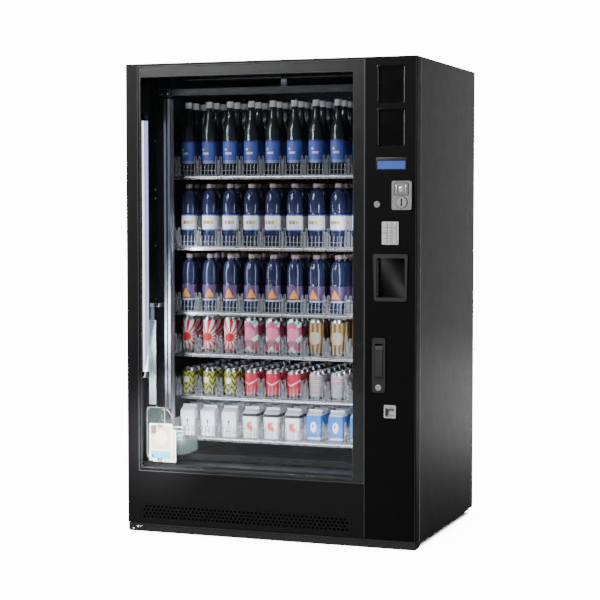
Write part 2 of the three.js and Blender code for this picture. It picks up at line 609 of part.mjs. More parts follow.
/** The coin return button: a plate on a stem. */
function coinReturnButton() {
  const face = [-RETURN.proud, RETURN.thick - RETURN.proud];
  const stem = [face[1] - PAST, COIN.depth];
  return roundedSlab(grow(RETURN.x, -2 * GAP), face, grow(RETURN.z, -2 * GAP), RETURN.radius).add(
    spindle([middle(RETURN.x), middle(RETURN.z)], RETURN.stem, stem, 12),
  );
}

/** A key-operated plug with a keyway, and a cam behind the panel if one is asked for. */
function lockPlug(radius, y, withCam) {
  const [width, height] = LOCK.keyway;
  const keyDepth = [y[0] - PAST, y[0] + LOCK.keyDepth];
  const keyway = block(grow([0, 0], width / 2), keyDepth, grow([0, 0], height / 2));
  const plug = cut(spindle([0, 0], radius, y), [keyway]);
  if (!withCam) return plug;
  return plug.add(block(grow([0, 0], CAM.width / 2), CAM.y, [-CAM.length, CAM.width / 2]));
}

/** The x and z offsets of the twelve keys from the keypad's centre. */
const keyOffsets = [];
for (let row = 0; row < 4; row++) {
  for (let column = 0; column < 3; column++) {
    keyOffsets.push([(column - 1) * KEY.pitch[0], (1.5 - row) * KEY.pitch[1]]);
  }
}

/** The keypad's metal bezel, with a pocket for each key. */
function keypadBezel() {
  const centre = [middle(KEYPAD.x), middle(KEYPAD.z)];
  const pockets = keyOffsets.map(([dx, dz]) => {
    const x = centre[0] + dx;
    const z = centre[1] + dz;
    const half = KEY.size.map((size) => size / 2 + 2 * GAP);
    return block(grow([x, x], half[0]), [-KEYPAD.proud - PAST, KEY.pocket], grow([z, z], half[1]));
  });
  return cut(flanged(KEYPAD), pockets);
}

/** One key cap with chamfered front edges, about its own centre. */
function keyCap() {
  const [width, height] = KEY.size;
  const [face, base] = KEY.y;
  const inner = [width / 2 - KEY.chamfer, height / 2 - KEY.chamfer];
  const outline = new THREE.Shape();
  outline.moveTo(-inner[0], -inner[1]);
  outline.lineTo(inner[0], -inner[1]);
  outline.lineTo(inner[0], inner[1]);
  outline.lineTo(-inner[0], inner[1]);
  const bevelled = new THREE.ExtrudeGeometry(outline, {
    depth: base - face - 2 * KEY.chamfer,
    bevelThickness: KEY.chamfer,
    bevelSize: KEY.chamfer,
    bevelSegments: 1,
  });
  return toSolid(bevelled.rotateX(Math.PI / 2).translate(0, base - KEY.chamfer, 0));
}

/** The delivery port: tapered front flange, tunnel towards the cup, and the shutter's two channels. */
function portFrame() {
  const { x, y, z, slack } = SHUTTER;
  const { top, wall, width, depth } = SHUTTER_ARM;
  const track = [grow(x, slack), grow(y, slack)];
  const arms = [x[0] - slack - wall, x[1] + slack + wall - width].map((left) =>
    block([left, left + width], grow(y, depth), [PORT_TUNNEL.z[1] - PAST, top]),
  );
  return cut(
    join([
      roundedSlab(PORT.x, [-PORT.proud, -GAP], PORT.z, PORT.radius, PORT.taper),
      roundedSlab(PORT_TUNNEL.x, [-GAP - PAST, PORT_TUNNEL.back], PORT_TUNNEL.z, CORNER.tunnel),
      ...arms,
    ]),
    [
      roundedSlab(PORT_MOUTH.x, [-PROUD, PORT_TUNNEL.back + PAST], PORT_MOUTH.z, PORT_MOUTH.radius),
      block(track[0], track[1], [z[0] - slack, top + PAST]),
    ],
  );
}

/** The handle plate with the lever's well and bearings, and the bore of its lock. */
function handlePlate() {
  const well = HANDLE_WELL;
  const wellY = [-PROUD, well.floor];
  const [pivotY, pivotZ] = LEVER.pivot;
  const bearing = [well.x[0] - well.wall + 0.5, well.x[1] + well.wall - 0.5];
  return cut(
    join([
      roundedSlab(HANDLE.x, [-HANDLE.proud, -GAP], HANDLE.z, HANDLE.radius),
      roundedSlab(
        grow(well.x, well.wall),
        [-GAP - PAST, HANDLE.depth],
        grow(well.z, well.wall),
        CORNER.tunnel,
      ),
      spindle(HANDLE_LOCK.centre, HANDLE_LOCK.boss - GAP, [-GAP - PAST, PANEL.thickness]),
    ]),
    [
      block(well.x, wellY, well.z),
      rod([pivotY, pivotZ], LEVER.pin + GAP, bearing),
      spindle(HANDLE_LOCK.centre, HANDLE_LOCK.plug + GAP, grow(wellY, PROUD)),
    ],
  );
}

/** The door lever about its pivot: a rounded eye on a cross pin, and a grip that hangs below it. */
function handleLever() {
  const halfWidth = span(LEVER.x) / 2;
  const profile = new THREE.Shape();
  const front = LEVER.front - LEVER.pivot[0];
  profile.moveTo(0, LEVER.eye);
  profile.absarc(0, 0, LEVER.eye, Math.PI / 2, -Math.PI / 2, true);
  profile.lineTo(GRIP.back, -LEVER.length + GRIP.chamfer);
  profile.lineTo(GRIP.foot, -LEVER.length);
  profile.lineTo(front + GRIP.footFront, -LEVER.length);
  profile.lineTo(front, -LEVER.length + GRIP.toe);
  profile.lineTo(front, -GRIP.shoulder);
  profile.quadraticCurveTo(front + GRIP.crown, -GRIP.crown, -LEVER.eye + 1, LEVER.eye / 2);
  const geometry = new THREE.ExtrudeGeometry(profile, {
    depth: 2 * halfWidth,
    bevelEnabled: false,
    curveSegments: 8,
  });
  // The profile is drawn in depth and height, so it is turned to run across the width.
  geometry.rotateX(Math.PI / 2).rotateZ(Math.PI / 2).translate(-halfWidth, 0, 0);
  const pinHalf = halfWidth + HANDLE_WELL.wall - 1;
  return toSolid(geometry).add(rod([0, 0], LEVER.pin, [-pinHalf, pinHalf]));
}

/** The coin return cup: a flange and a deep pocket. */
function coinCup() {
  const pocketX = grow(CUP.x, -CUP.inset - CUP.wall);
  const pocketZ = grow(CUP.z, -CUP.inset - CUP.wall);
  return cut(flanged(CUP), [block(pocketX, [-CUP.proud - PAST, CUP.depth - CUP.wall], pocketZ)]);
}

/** The coin changer behind the panel, with the chute that feeds it from the coin slot. */
function coinChanger() {
  const { x, y, z, split, step } = CHANGER;
  return join([
    block(x, [y[0] + step, y[1]], [z[0], split]),
    block(x, y, [split - PAST, z[1]]),
    block([x[1] - PAST, CHUTE.x[1]], CHUTE.y, [CHUTE.z[0], z[1]]),
    block(CHUTE.x, CHUTE.y, CHUTE.z),
    block([CHUTE.funnelX, CHUTE.x[1]], CHUTE.y, [CHUTE.funnelZ, CHUTE.z[1]]),
  ]);
}

// ---------------------------------------------------------------- assembly
const machine = new THREE.Group();
machine.position.y = PROUD - (DEPTH + PROUD) / 2;

const cabinet = new THREE.Group();
addPiece(cabinet, "outer_casing", outerCasing(), SATIN_BLACK);
addPiece(cabinet, "insulated_liner", insulatedLiner(), LINER_NAVY);
addPiece(cabinet, "back_panel", backPanel(), SATIN_BLACK);
addPiece(cabinet, "base_frame", baseFrame(), DEEP_BLACK);
addPiece(cabinet, "kick_plate", kickPlate(), SATIN_BLACK);
for (const [side, x] of [["left", -FEET.x], ["right", FEET.x]]) {
  for (const [end, y] of [["front", FEET.y[0]], ["rear", FEET.y[1]]]) {
    addPiece(cabinet, `foot_${end}_${side}`, levellingFoot(), RUBBER, [x, y, 0]);
  }
}
addPiece(cabinet, "cooling_unit", coolingUnit(), DEEP_BLACK);
addPiece(cabinet, "condenser_fan", condenserFan(), DEEP_BLACK, [FAN.centre[0], 0, FAN.centre[1]]);
addPiece(cabinet, "light_tube", lightTube(), LAMP_WHITE);
addPiece(cabinet, "top_rail", liftRail(RAIL.top, CAVITY.z[1] - GAP), MOULDED_GREY);
addPiece(cabinet, "bottom_rail", liftRail(RAIL.bottom, CAVITY.z[0] + GAP), MOULDED_GREY);
SHELF_RAILS.forEach((height, i) => {
  const shelf = new THREE.Group();
  shelf.position.z = height;
  addPiece(shelf, `shelf_tray_${i + 1}`, shelfTray(), ALUMINIUM);
  addPiece(shelf, `lane_guides_${i + 1}`, laneGuides(), CLEAR);
  cabinet.add(shelf);
});
machine.add(cabinet);

const lift = new THREE.Group();
addPiece(lift, "lift_mast", liftMast(), ALUMINIUM);
addPiece(lift, "cup_carriage", cupCarriage(), MOULDED_GREY);
addPiece(lift, "delivery_cup", deliveryCup(), CLEAR);
machine.add(lift);

const door = new THREE.Group();
const glassX = grow(GLASS.x, -GAP);
addPiece(door, "door_frame", doorFrame(), SATIN_BLACK);
addPiece(door, "door_glass", block(glassX, GLASS.y, grow(GLASS.z, -GAP)), GLASS_FINISH);
addPiece(door, "door_gasket", doorGasket(), RUBBER);
const grille = block(grow(GRILLE.x, -GAP), [GAP, DOOR.skin], grow(GRILLE.z, -GAP));
addPiece(door, "vent_grille", grille, SATIN_BLACK);
addPiece(door, "control_panel", controlPanel(), SATIN_BLACK);
for (const [name, z] of Object.entries(WINDOW_HEIGHTS)) {
  addPiece(door, name, recessedWindow(z), GLOSS_BLACK);
}
addPiece(door, "display_module", flanged(DISPLAY), MOULDED_GREY);
addPiece(door, "coin_plate", coinPlate(), DIE_CAST);
addPiece(door, "coin_return_button", coinReturnButton(), DIE_CAST);
addPiece(door, "lock_cylinder", lockPlug(LOCK.plug, [-LOCK.proud, LOCK.depth], true), DIE_CAST, [
  LOCK.centre[0],
  0,
  LOCK.centre[1],
]);
addPiece(door, "keypad_bezel", keypadBezel(), DIE_CAST);
keyOffsets.forEach(([dx, dz], i) => {
  const place = [middle(KEYPAD.x) + dx, 0, middle(KEYPAD.z) + dz];
  addPiece(door, `key_${String(i + 1).padStart(2, "0")}`, keyCap(), DIE_CAST, place);
});
addPiece(door, "port_frame", portFrame(), MOULDED_GREY);
addPiece(door, "port_shutter", block(SHUTTER.x, SHUTTER.y, SHUTTER.z), GLOSS_BLACK);
addPiece(door, "handle_plate", handlePlate(), MOULDED_GREY);
addPiece(door, "handle_lever", handleLever(), MOULDED_GREY, [middle(LEVER.x), ...LEVER.pivot]);
const handleLockY = [-HANDLE_LOCK.proud, HANDLE_LOCK.depth];
addPiece(door, "handle_lock", lockPlug(HANDLE_LOCK.plug, handleLockY, false), DIE_CAST, [
  HANDLE_LOCK.centre[0],
  0,
  HANDLE_LOCK.centre[1],
]);
addPiece(door, "coin_cup", coinCup(), DIE_CAST);
addPiece(door, "coin_changer", coinChanger(), MOULDED_GREY);
machine.add(door);

export default machine;
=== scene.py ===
import math
import random

import bmesh
import bpy
from mathutils import Euler, Matrix, Vector


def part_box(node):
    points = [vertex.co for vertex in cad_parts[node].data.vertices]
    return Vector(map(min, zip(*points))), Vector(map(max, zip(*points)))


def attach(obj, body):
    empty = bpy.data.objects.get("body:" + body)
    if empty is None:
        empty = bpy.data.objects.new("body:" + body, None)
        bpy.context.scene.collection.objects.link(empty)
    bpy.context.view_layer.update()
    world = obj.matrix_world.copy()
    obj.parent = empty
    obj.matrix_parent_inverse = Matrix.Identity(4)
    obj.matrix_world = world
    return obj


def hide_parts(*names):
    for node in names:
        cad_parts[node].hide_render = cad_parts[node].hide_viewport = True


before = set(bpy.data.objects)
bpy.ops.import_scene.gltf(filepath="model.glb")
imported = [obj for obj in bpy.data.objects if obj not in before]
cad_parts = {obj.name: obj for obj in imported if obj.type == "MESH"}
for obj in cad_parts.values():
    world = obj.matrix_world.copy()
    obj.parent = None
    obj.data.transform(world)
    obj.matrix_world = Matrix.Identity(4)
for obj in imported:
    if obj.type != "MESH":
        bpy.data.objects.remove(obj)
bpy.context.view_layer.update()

# A glass-front drinks vending machine: its finishes, its detailed pieces, the goods on its shelves,
# and the studio. Lengths are in millimetres: x to the right, d backwards from the door's front, z up.
MM = 0.001
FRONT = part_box("door_frame")[0].y
BACKDROP = 14.0  # how bright the backdrop is to the camera
CLOSE = 1e-6
TO_WORLD = Matrix.Translation((0, FRONT, 0)) @ Matrix.Scale(MM, 4)


def limits(node):
    """The x, d and z limits of a CAD node, in millimetres."""
    low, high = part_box(node)
    shift = (0, FRONT, 0)
    return tuple(((low[i] - shift[i]) / MM, (high[i] - shift[i]) / MM) for i in range(3))


def middle(pair):
    return (pair[0] + pair[1]) / 2


def grow(pair, by):
    return (pair[0] - by, pair[1] + by)


def about(centre, half):
    return (centre - half, centre + half)


def within(pair, outer):
    return (max(pair[0], outer[0]), min(pair[1], outer[1]))


def add(name, data):
    """A new object in the scene."""
    made = bpy.data.objects.new(name, data)
    bpy.context.scene.collection.objects.link(made)
    return made


# ---------------------------------------------------------------- materials
class Field:
    """A number that varies over a surface, for writing a material's arithmetic plainly."""

    def __init__(self, finish, socket):
        self.finish = finish
        self.socket = socket

    def math(self, operation, *others):
        node = self.finish.node("ShaderNodeMath", operation=operation)
        for target, value in zip(node.inputs, (self, *others)):
            self.finish.feed(target, value)
        return Field(self.finish, node.outputs[0])

    def __add__(self, other):
        return self.math("ADD", other)

    def __sub__(self, other):
        return self.math("SUBTRACT", other)

    def __mul__(self, other):
        return self.math("MULTIPLY", other)

    def below(self, other):
        return self.math("LESS_THAN", other)


class Finish:
    """A node material round one Principled shader."""

    def __init__(self, name, roughness=0.5, metallic=0.0, **inputs):
        self.material = bpy.data.materials.new(name)
        self.material.use_nodes = True
        self.tree = self.material.node_tree
        self.shader = self.tree.nodes["Principled BSDF"]
        self.shader.inputs["Roughness"].default_value = roughness
        self.shader.inputs["Metallic"].default_value = metallic
        for key, value in inputs.items():
            self.shader.inputs[key.replace("_", " ")].default_value = value

    def node(self, kind, **settings):
        made = self.tree.nodes.new(kind)
        for key, value in settings.items():
            setattr(made, key, value)
        return made

    def feed(self, target, value):
        if isinstance(value, Field):
            value = value.socket
        if isinstance(value, bpy.types.NodeSocket):
            self.tree.links.new(value, target)
        else:
            target.default_value = value

    def place(self, stretch=(1, 1, 1)):
        coordinates = self.node("ShaderNodeTexCoord")
        mapping = self.node("ShaderNodeMapping")
        mapping.inputs["Scale"].default_value = stretch
        self.tree.links.new(coordinates.outputs["Object"], mapping.inputs["Vector"])
        return mapping.outputs["Vector"]

    def noise(self, scale, detail=3.0, stretch=(1, 1, 1)):
        made = self.node("ShaderNodeTexNoise")
        self.feed(made.inputs["Vector"], self.place(stretch))
        made.inputs["Scale"].default_value = scale
        made.inputs["Detail"].default_value = detail
        return Field(self, made.outputs["Fac"])

    def cells(self, scale):
        made = self.node("ShaderNodeTexVoronoi")
        self.feed(made.inputs["Vector"], self.place())
        made.inputs["Scale"].default_value = scale
        return Field(self, made.outputs["Distance"])

    def uv(self):
        split = self.node("ShaderNodeSeparateXYZ")
        self.feed(split.inputs[0], self.node("ShaderNodeUVMap").outputs[0])
        return Field(self, split.outputs[0]), Field(self, split.outputs[1])

    def mottle(self, value, dark, light):
        """One colour drifting into another over the middle of a noise."""
        return self.ramp(value, [(0.3, dark), (0.7, light)])

    def ramp(self, value, stops):
        made = self.node("ShaderNodeValToRGB")
        elements = made.color_ramp.elements
        while len(elements) < len(stops):
            elements.new(0.5)
        for element, (position, color) in zip(elements, stops):
            element.position = position
            element.color = (*color, 1)
        self.feed(made.inputs[0], value)
        return made.outputs[0]

    def mix(self, factor, first, second):
        made = self.node("ShaderNodeMix", data_type="RGBA")
        self.feed(made.inputs["Factor"], factor)
        for target, color in zip((made.inputs["A"], made.inputs["B"]), (first, second)):
            is_color = isinstance(color, tuple)
            self.feed(target, (*color, 1) if is_color else color)
        return made.outputs["Result"]

    def spread(self, value, low, high):
        made = self.node("ShaderNodeMapRange")
        self.feed(made.inputs["Value"], value)
        made.inputs["From Min"].default_value = 0.3
        made.inputs["From Max"].default_value = 0.7
        made.inputs["To Min"].default_value = low
        made.inputs["To Max"].default_value = high
        return Field(self, made.outputs[0])

    def color(self, value):
        self.feed(self.shader.inputs["Base Color"], value)
        return self

    def rough(self, value):
        self.feed(self.shader.inputs["Roughness"], value)
        return self

    def bump(self, height, distance, strength=1.0):
        made = self.node("ShaderNodeBump")
        made.inputs["Strength"].default_value = strength
        made.inputs["Distance"].default_value = distance
        self.feed(made.inputs["Height"], height)
        self.feed(self.shader.inputs["Normal"], made.outputs[0])
        return self


def grained(name, dark, light, rough, grain, depth, metallic=0.0, patch=3.0, stretch=(1, 1, 1), **inputs):
    """A finish with patchy colour and sheen and a fine surface grain."""
    made = Finish(name, metallic=metallic, **inputs)
    patches = made.noise(patch, 4.0)
    made.color(made.mottle(patches, dark, light))
    made.rough(made.spread(made.noise(patch * 6, 5.0), *rough))
    made.bump(made.noise(grain, 2.0, stretch), depth)
    return made.material


def clear(name, tint, gloss, haze=0.0, edge=0.55):
    """Thin clear plastic or glass: mostly see-through, brighter where it is seen edge-on."""
    made = Finish(name, roughness=gloss)
    patches = made.noise(30.0)
    made.color(made.mottle(patches, tuple(c * 0.92 for c in tint), tint))
    made.rough(made.spread(made.noise(90.0), gloss, gloss + 0.06))
    facing = made.node("ShaderNodeLayerWeight")
    facing.inputs["Blend"].default_value = 0.35
    alpha = Field(made, facing.outputs["Facing"]) * edge + haze
    made.feed(made.shader.inputs["Alpha"], alpha)
    return made.material


def lit(name, color, strength):
    """A glowing diffuser with a faint mottle."""
    made = Finish(name)
    shade = made.mottle(made.noise(14.0), tuple(c * 0.9 for c in color), color)
    made.color(shade)
    made.feed(made.shader.inputs["Emission Color"], shade)
    made.shader.inputs["Emission Strength"].default_value = strength
    return made.material


CASING = grained(
    "casing_black", (0.0050, 0.0050, 0.0054), (0.0056, 0.0056, 0.0060), (0.44, 0.47), 1400, 0.00001
)
DOOR_BLACK = grained(
    "door_black", (0.0040, 0.0036, 0.0042), (0.0048, 0.0043, 0.0052), (0.46, 0.52), 1500, 0.00002,
    Specular_IOR_Level=0.2,
)
PANEL_BLACK = grained(
    "panel_black", (0.0008, 0.0007, 0.0009), (0.0011, 0.0010, 0.0012), (0.48, 0.54), 1600, 0.00002,
    Specular_IOR_Level=0.12,
)
DARK_STEEL = grained("dark_steel", (0.010, 0.010, 0.011), (0.022, 0.021, 0.021), (0.5, 0.7), 900, 0.0001)
LINER = grained(
    "liner_dark", (0.0017, 0.0023, 0.0041), (0.0024, 0.0032, 0.0055), (0.32, 0.42), 700, 0.00003
)
MOULDED = grained(
    "moulded_grey", (0.0160, 0.0168, 0.0176), (0.0240, 0.0248, 0.0264), (0.42, 0.56), 1100, 0.00012
)
HANDLE_GREY = grained(
    "handle_grey", (0.0137, 0.0142, 0.0147), (0.0189, 0.0194, 0.0205), (0.4, 0.55), 1000, 0.00015
)
RAIL_DARK = grained(
    "rail_dark", (0.0050, 0.0060, 0.0080), (0.0080, 0.0090, 0.0115), (0.3, 0.4), 600, 0.00002, 0.3
)
# Black rubber; the same dark also fills the gap round each key and the coin slot's groove, slot and button
# gap, where it is painted shade.
RUBBER_AND_GAP_SHADE = grained("rubber_black_and_gap_shade", (0.010, 0.010, 0.010), (0.018, 0.018, 0.018), (0.6, 0.8), 1200, 0.0001)
GLOSS_BLACK = grained(
    "gloss_black", (0.0030, 0.0030, 0.0034), (0.0045, 0.0045, 0.0050), (0.10, 0.16), 60, 0.00003
)
SMOKED = grained(
    "smoked_pane", (0.0030, 0.0032, 0.0036), (0.0044, 0.0046, 0.0052), (0.05, 0.08), 60, 0.00001
)
# A pale grey that stands for light caught on an edge: a painted highlight.
EDGE_HIGHLIGHT = grained("painted_edge_highlight", (0.60, 0.61, 0.62), (0.72, 0.73, 0.74), (0.3, 0.4), 700, 0.00002)
# Grey for the glass's trim lines, and for pale strips on the panel's seams, where it is a painted
# highlight.
TRIM_GREY_AND_SEAM_HIGHLIGHT = grained("trim_grey_and_seam_highlight", (0.060, 0.062, 0.066), (0.090, 0.093, 0.098), (0.4, 0.5), 700, 0.00003)
FRIT = grained(
    "glass_border", (0.0013, 0.0014, 0.0017), (0.0015, 0.0017, 0.0021), (0.3, 0.36), 900, 0.00001
)
ALUMINIUM = grained(
    "aluminium", (0.3850, 0.3990, 0.4200), (0.5040, 0.5180, 0.5390), (0.22, 0.36), 500, 0.00003, 1.0, 8.0, (
        0.02, 1, 1,
    )
)
MAST_METAL = grained(
    "mast_metal", (0.26, 0.28, 0.31), (0.36, 0.38, 0.41), (0.3, 0.42), 500, 0.00003, 0.9, 8.0, (1, 1, 0.02)
)
NICKEL = grained("nickel", (0.50, 0.49, 0.47), (0.66, 0.65, 0.63), (0.22, 0.36), 800, 0.00004, 0.6, 40.0)
POLISHED = grained(
    "polished_silver", (0.66, 0.67, 0.68), (0.80, 0.81, 0.82), (0.18, 0.3), 700, 0.00003, 0.5, 30.0
)
KEY_SILVER = grained(
    "key_silver", (0.80, 0.80, 0.80), (0.88, 0.88, 0.88), (0.3, 0.42), 800, 0.00004, 0.0, 30.0
)
BEZEL_SILVER = grained(
    "bezel_silver", (0.84, 0.84, 0.84), (0.92, 0.92, 0.92), (0.22, 0.34), 700, 0.00003, 0.1, 30.0
)
CUP_GREY = grained(
    "coin_cup_grey", (0.34, 0.34, 0.34), (0.44, 0.44, 0.44), (0.35, 0.5), 700, 0.00003, 0.2, 30.0
)
SCREW = grained("zinc_screw", (0.42, 0.42, 0.43), (0.60, 0.60, 0.62), (0.3, 0.5), 900, 0.00005, 1.0, 60.0)
CUP_CLEAR = clear("cup_acrylic", (0.40, 0.54, 0.50), 0.06, 0.06, 0.5)
GUIDE_CLEAR = clear("guide_clear", (0.22, 0.25, 0.28), 0.05, 0.015, 0.3)
# The same clear plastic tinted whiter for ribs, gates, posts and brackets: a painted highlight on edges
# that catch light.
GUIDE_EDGE_HIGHLIGHT = clear("guide_edge_highlight", (0.66, 0.69, 0.72), 0.08, 0.30, 0.4)
RIBBON = clear("ribbon_clear", (0.55, 0.68, 0.66), 0.25, 0.42, 0.5)
RIBBON_EDGE = clear("ribbon_edge", (0.80, 0.88, 0.87), 0.2, 0.6, 0.35)
LAMP_WHITE = lit("lamp_white", (0.84, 0.90, 1.0), 2.6)
LAMP_LILAC = lit("lamp_lilac", (0.46, 0.52, 0.86), 1.1)
STRIP_WHITE = lit("strip_white", (0.30, 0.32, 0.34), 0.02)


def hammered():
    """Hammer-finished silver die casting."""
    made = Finish("die_cast", metallic=0.35)
    dimples = made.cells(420.0)
    made.color(made.ramp(dimples, [(0.1, (0.05, 0.05, 0.05)), (0.6, (0.42, 0.42, 0.43))]))
    made.rough(made.spread(made.noise(120.0), 0.3, 0.48))
    return made.bump(dimples + made.noise(900.0) * 0.4, 0.0012).material


DIE_CAST = hammered()


# ---------------------------------------------------------------- mesh building
class Piece:
    """Collects the faces of one piece, in millimetres as (x, d, z)."""

    def __init__(self):
        self.bm = bmesh.new()
        self.uv = self.bm.loops.layers.uv.new("UVMap")
        self.materials = []

    def index(self, material):
        if material not in self.materials:
            self.materials.append(material)
        return self.materials.index(material)

    def paint(self, faces, material):
        number = self.index(material)
        for face in faces:
            face.material_index = number

    def bevelled(self, faces, material, bevel, segments=2, angle=20):
        """Paints new faces and rounds the edges between them."""
        self.paint(faces, material)
        edges = {
            edge
            for face in faces
            for edge in face.edges
            if len(edge.link_faces) == 2 and edge.calc_face_angle() > math.radians(angle)
        }
        if bevel and edges:
            bmesh.ops.bevel(
                self.bm, geom=list(edges), offset=bevel, segments=segments, profile=0.5,
                affect="EDGES", clamp_overlap=True,
            )

    def box(self, x, d, z, material, bevel=0.6, segments=2):
        """A box with rounded edges."""
        verts = bmesh.ops.create_cube(self.bm, size=1)["verts"]
        centre = Vector((middle(x), middle(d), middle(z)))
        size = (x[1] - x[0], d[1] - d[0], z[1] - z[0])
        for vert in verts:
            vert.co = centre + Vector(size[i] * vert.co[i] for i in range(3))
        self.bevelled({face for vert in verts for face in vert.link_faces}, material, bevel, segments)

    def prism(self, outline, axis, start, end, material, bevel=0.0, segments=2):
        """A closed outline swept along an axis: "x" takes (d, z), "d" takes (x, z), "z" takes (x, d)."""
        order = {"x": (2, 0, 1), "d": (0, 2, 1), "z": (0, 1, 2)}[axis]

        def corner(point, level):
            values = (*point, level)
            return Vector(values[order[i]] for i in range(3))

        low = [self.bm.verts.new(corner(point, start)) for point in outline]
        high = [self.bm.verts.new(corner(point, end)) for point in outline]
        faces = [self.bm.faces.new(low), self.bm.faces.new(high)]
        for i in range(len(outline)):
            j = (i + 1) % len(outline)
            faces.append(self.bm.faces.new((low[i], low[j], high[j], high[i])))
        bmesh.ops.recalc_face_normals(self.bm, faces=faces)
        self.bevelled(set(faces), material, bevel, segments)

    def lathe(self, profile, centre, material, segments=24, axis="z", painted=()):
        """A turned body from (radius, height) pairs; painted gives (low, high, material) bands."""
        centre = Vector(centre)
        rings = []
        for radius, level in profile:
            ring = []
            for k in range(segments if radius > 0 else 1):
                turn = 2 * math.pi * k / segments + math.pi / 2
                point = Vector((radius * math.cos(turn), radius * math.sin(turn), level))
                if axis == "d":
                    point = Vector((point.x, -point.z, point.y))
                ring.append(self.bm.verts.new(centre + point))
            rings.append(ring)
        faces = []
        for (low, high), (a, b) in zip(zip(profile, profile[1:]), zip(rings, rings[1:])):
            band = (0, 1, material)
            bottom, top = sorted((low[1], high[1]))
            for candidate in painted:
                if candidate[0] <= bottom + CLOSE and top <= candidate[1] + CLOSE:
                    band = candidate
            number = self.index(band[2])
            for k in range(segments):
                j = (k + 1) % segments
                corners = [a[k % len(a)], a[j % len(a)], b[j % len(b)], b[k % len(b)]]
                corners = [vert for i, vert in enumerate(corners) if vert not in corners[:i]]
                if len(corners) < 3:
                    continue
                face = self.bm.faces.new(corners)
                face.material_index = number
                faces.append(face)
                if len(corners) == 4:
                    for loop, step in zip(face.loops, (k, k + 1, k + 1, k)):
                        level = (loop.vert.co.z - centre.z - band[0]) / (band[1] - band[0])
                        loop[self.uv].uv = (step / segments, level)
        bmesh.ops.recalc_face_normals(self.bm, faces=faces)
        return [vert for ring in rings for vert in ring]

    def tube(self, points, radius, material, sides=8, flat=None):
        """A bar of round section, or a flat strip of (width, thickness), along a path of points."""
        width, thick = flat or (2 * radius, 2 * radius)
        path = [Vector(point) for point in points]
        rings = []
        side = None
        for i, point in enumerate(path):
            along = (path[min(i + 1, len(path) - 1)] - path[max(i - 1, 0)]).normalized()
            reference = side or (Vector((1, 0, 0)) if abs(along.x) < 0.9 else Vector((0, 0, 1)))
            side = (reference - along * reference.dot(along)).normalized()
            up = along.cross(side)
            ring = []
            for k in range(sides):
                turn = 2 * math.pi * (k + 0.5) / sides
                across = Vector((math.cos(turn), math.sin(turn)))
                if flat:
                    across /= max(abs(across.x), abs(across.y))
                offset = side * across.x * width / 2 + up * across.y * thick / 2
                ring.append(self.bm.verts.new(point + offset))
            rings.append(ring)
        faces = [self.bm.faces.new(rings[0]), self.bm.faces.new(rings[-1])]
        for a, b in zip(rings, rings[1:]):
            for k in range(sides):
                j = (k + 1) % sides
                faces.append(self.bm.faces.new((a[k], a[j], b[j], b[k])))
        self.paint(faces, material)
        bmesh.ops.recalc_face_normals(self.bm, faces=faces)

    def copy_in(self, mesh, matrix):
        """Adds a finished item's mesh, moved by the matrix."""
        moved = mesh.copy()
        moved.transform(matrix)
        numbers = [self.index(material) for material in mesh.materials]
        for polygon in moved.polygons:
            polygon.material_index = numbers[polygon.material_index]
        self.bm.from_mesh(moved)
        bpy.data.meshes.remove(moved)

    def mesh(self, name, smooth_angle=32):
        """The finished mesh, smooth except across sharp edges."""
        for face in self.bm.faces:
            face.smooth = True
        limit = math.radians(smooth_angle)
        for edge in self.bm.edges:
            edge.smooth = len(edge.link_faces) == 2 and edge.calc_face_angle() < limit
        made = bpy.data.meshes.new(name)
        self.bm.to_mesh(made)
        self.bm.free()
        for material in self.materials:
            made.materials.append(material)
        return made

    def finish(self, name, body, slot, *nodes, weighted=False):
        """Makes the object, puts it on its body and hides the CAD nodes it stands for."""
        made = self.mesh(name)
        made.transform(TO_WORLD)
        piece = add(name, made)
        if weighted:
            modifier = piece.modifiers.new("even_normals", "WEIGHTED_NORMAL")
            modifier.keep_sharp = True
        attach(piece, body)
        if nodes:
            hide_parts(*nodes)
        return piece


def rounded(x, z, radius, taper=0.0, steps=5):
    """The outline of a rounded rectangle; its lower end can be narrower by taper on each side."""
    corners = [
        (x[1] - taper - radius, z[0] + radius, -90),
        (x[1] - radius, z[1] - radius, 0),
        (x[0] + radius, z[1] - radius, 90),
        (x[0] + taper + radius, z[0] + radius, 180),
    ]
    outline = []
    for cx, cz, start in corners:
        for k in range(steps + 1):
            turn = math.radians(start + 90 * k / steps)
            outline.append((cx + radius * math.cos(turn), cz + radius * math.sin(turn)))
    return outline


def refined(node, material, body, slot, bevel=0.8, segments=2, angle=30, accent=None):
    """A finer copy of a CAD piece with rounded edges; accent is a second finish and where it goes."""
    piece = Piece()
    piece.bm.from_mesh(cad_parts[node].data)
    bmesh.ops.transform(piece.bm, matrix=TO_WORLD.inverted(), verts=piece.bm.verts)
    bmesh.ops.remove_doubles(piece.bm, verts=piece.bm.verts, dist=0.01)
    bmesh.ops.dissolve_limit(
        piece.bm, angle_limit=math.radians(1), verts=piece.bm.verts, edges=piece.bm.edges
    )
    piece.bevelled(set(piece.bm.faces), material, bevel, segments, angle)
    if accent:
        finish, chosen = accent
        piece.paint([face for face in piece.bm.faces if chosen(face.calc_center_median())], finish)
    return piece.finish(node + "_fine", body, slot, node, weighted=True)


def ring_outline(piece, outer, inner, d, material, bevel=0.0):
    """A flat frame between two outlines with the same number of points, between two depths."""
    count = len(outer)
    rings = [
        [piece.bm.verts.new((x, level, z)) for x, z in outline]
        for outline in (outer, inner)
        for level in d
    ]
    front_out, back_out, front_in, back_in = rings
    faces = []
    for i in range(count):
        j = (i + 1) % count
        for a, b in (
            (front_out, front_in), (front_in, back_in), (back_in, back_out), (back_out, front_out),
        ):
            faces.append(piece.bm.faces.new((a[i], a[j], b[j], b[i])))
    bmesh.ops.recalc_face_normals(piece.bm, faces=faces)
    piece.bevelled(set(faces), material, bevel)


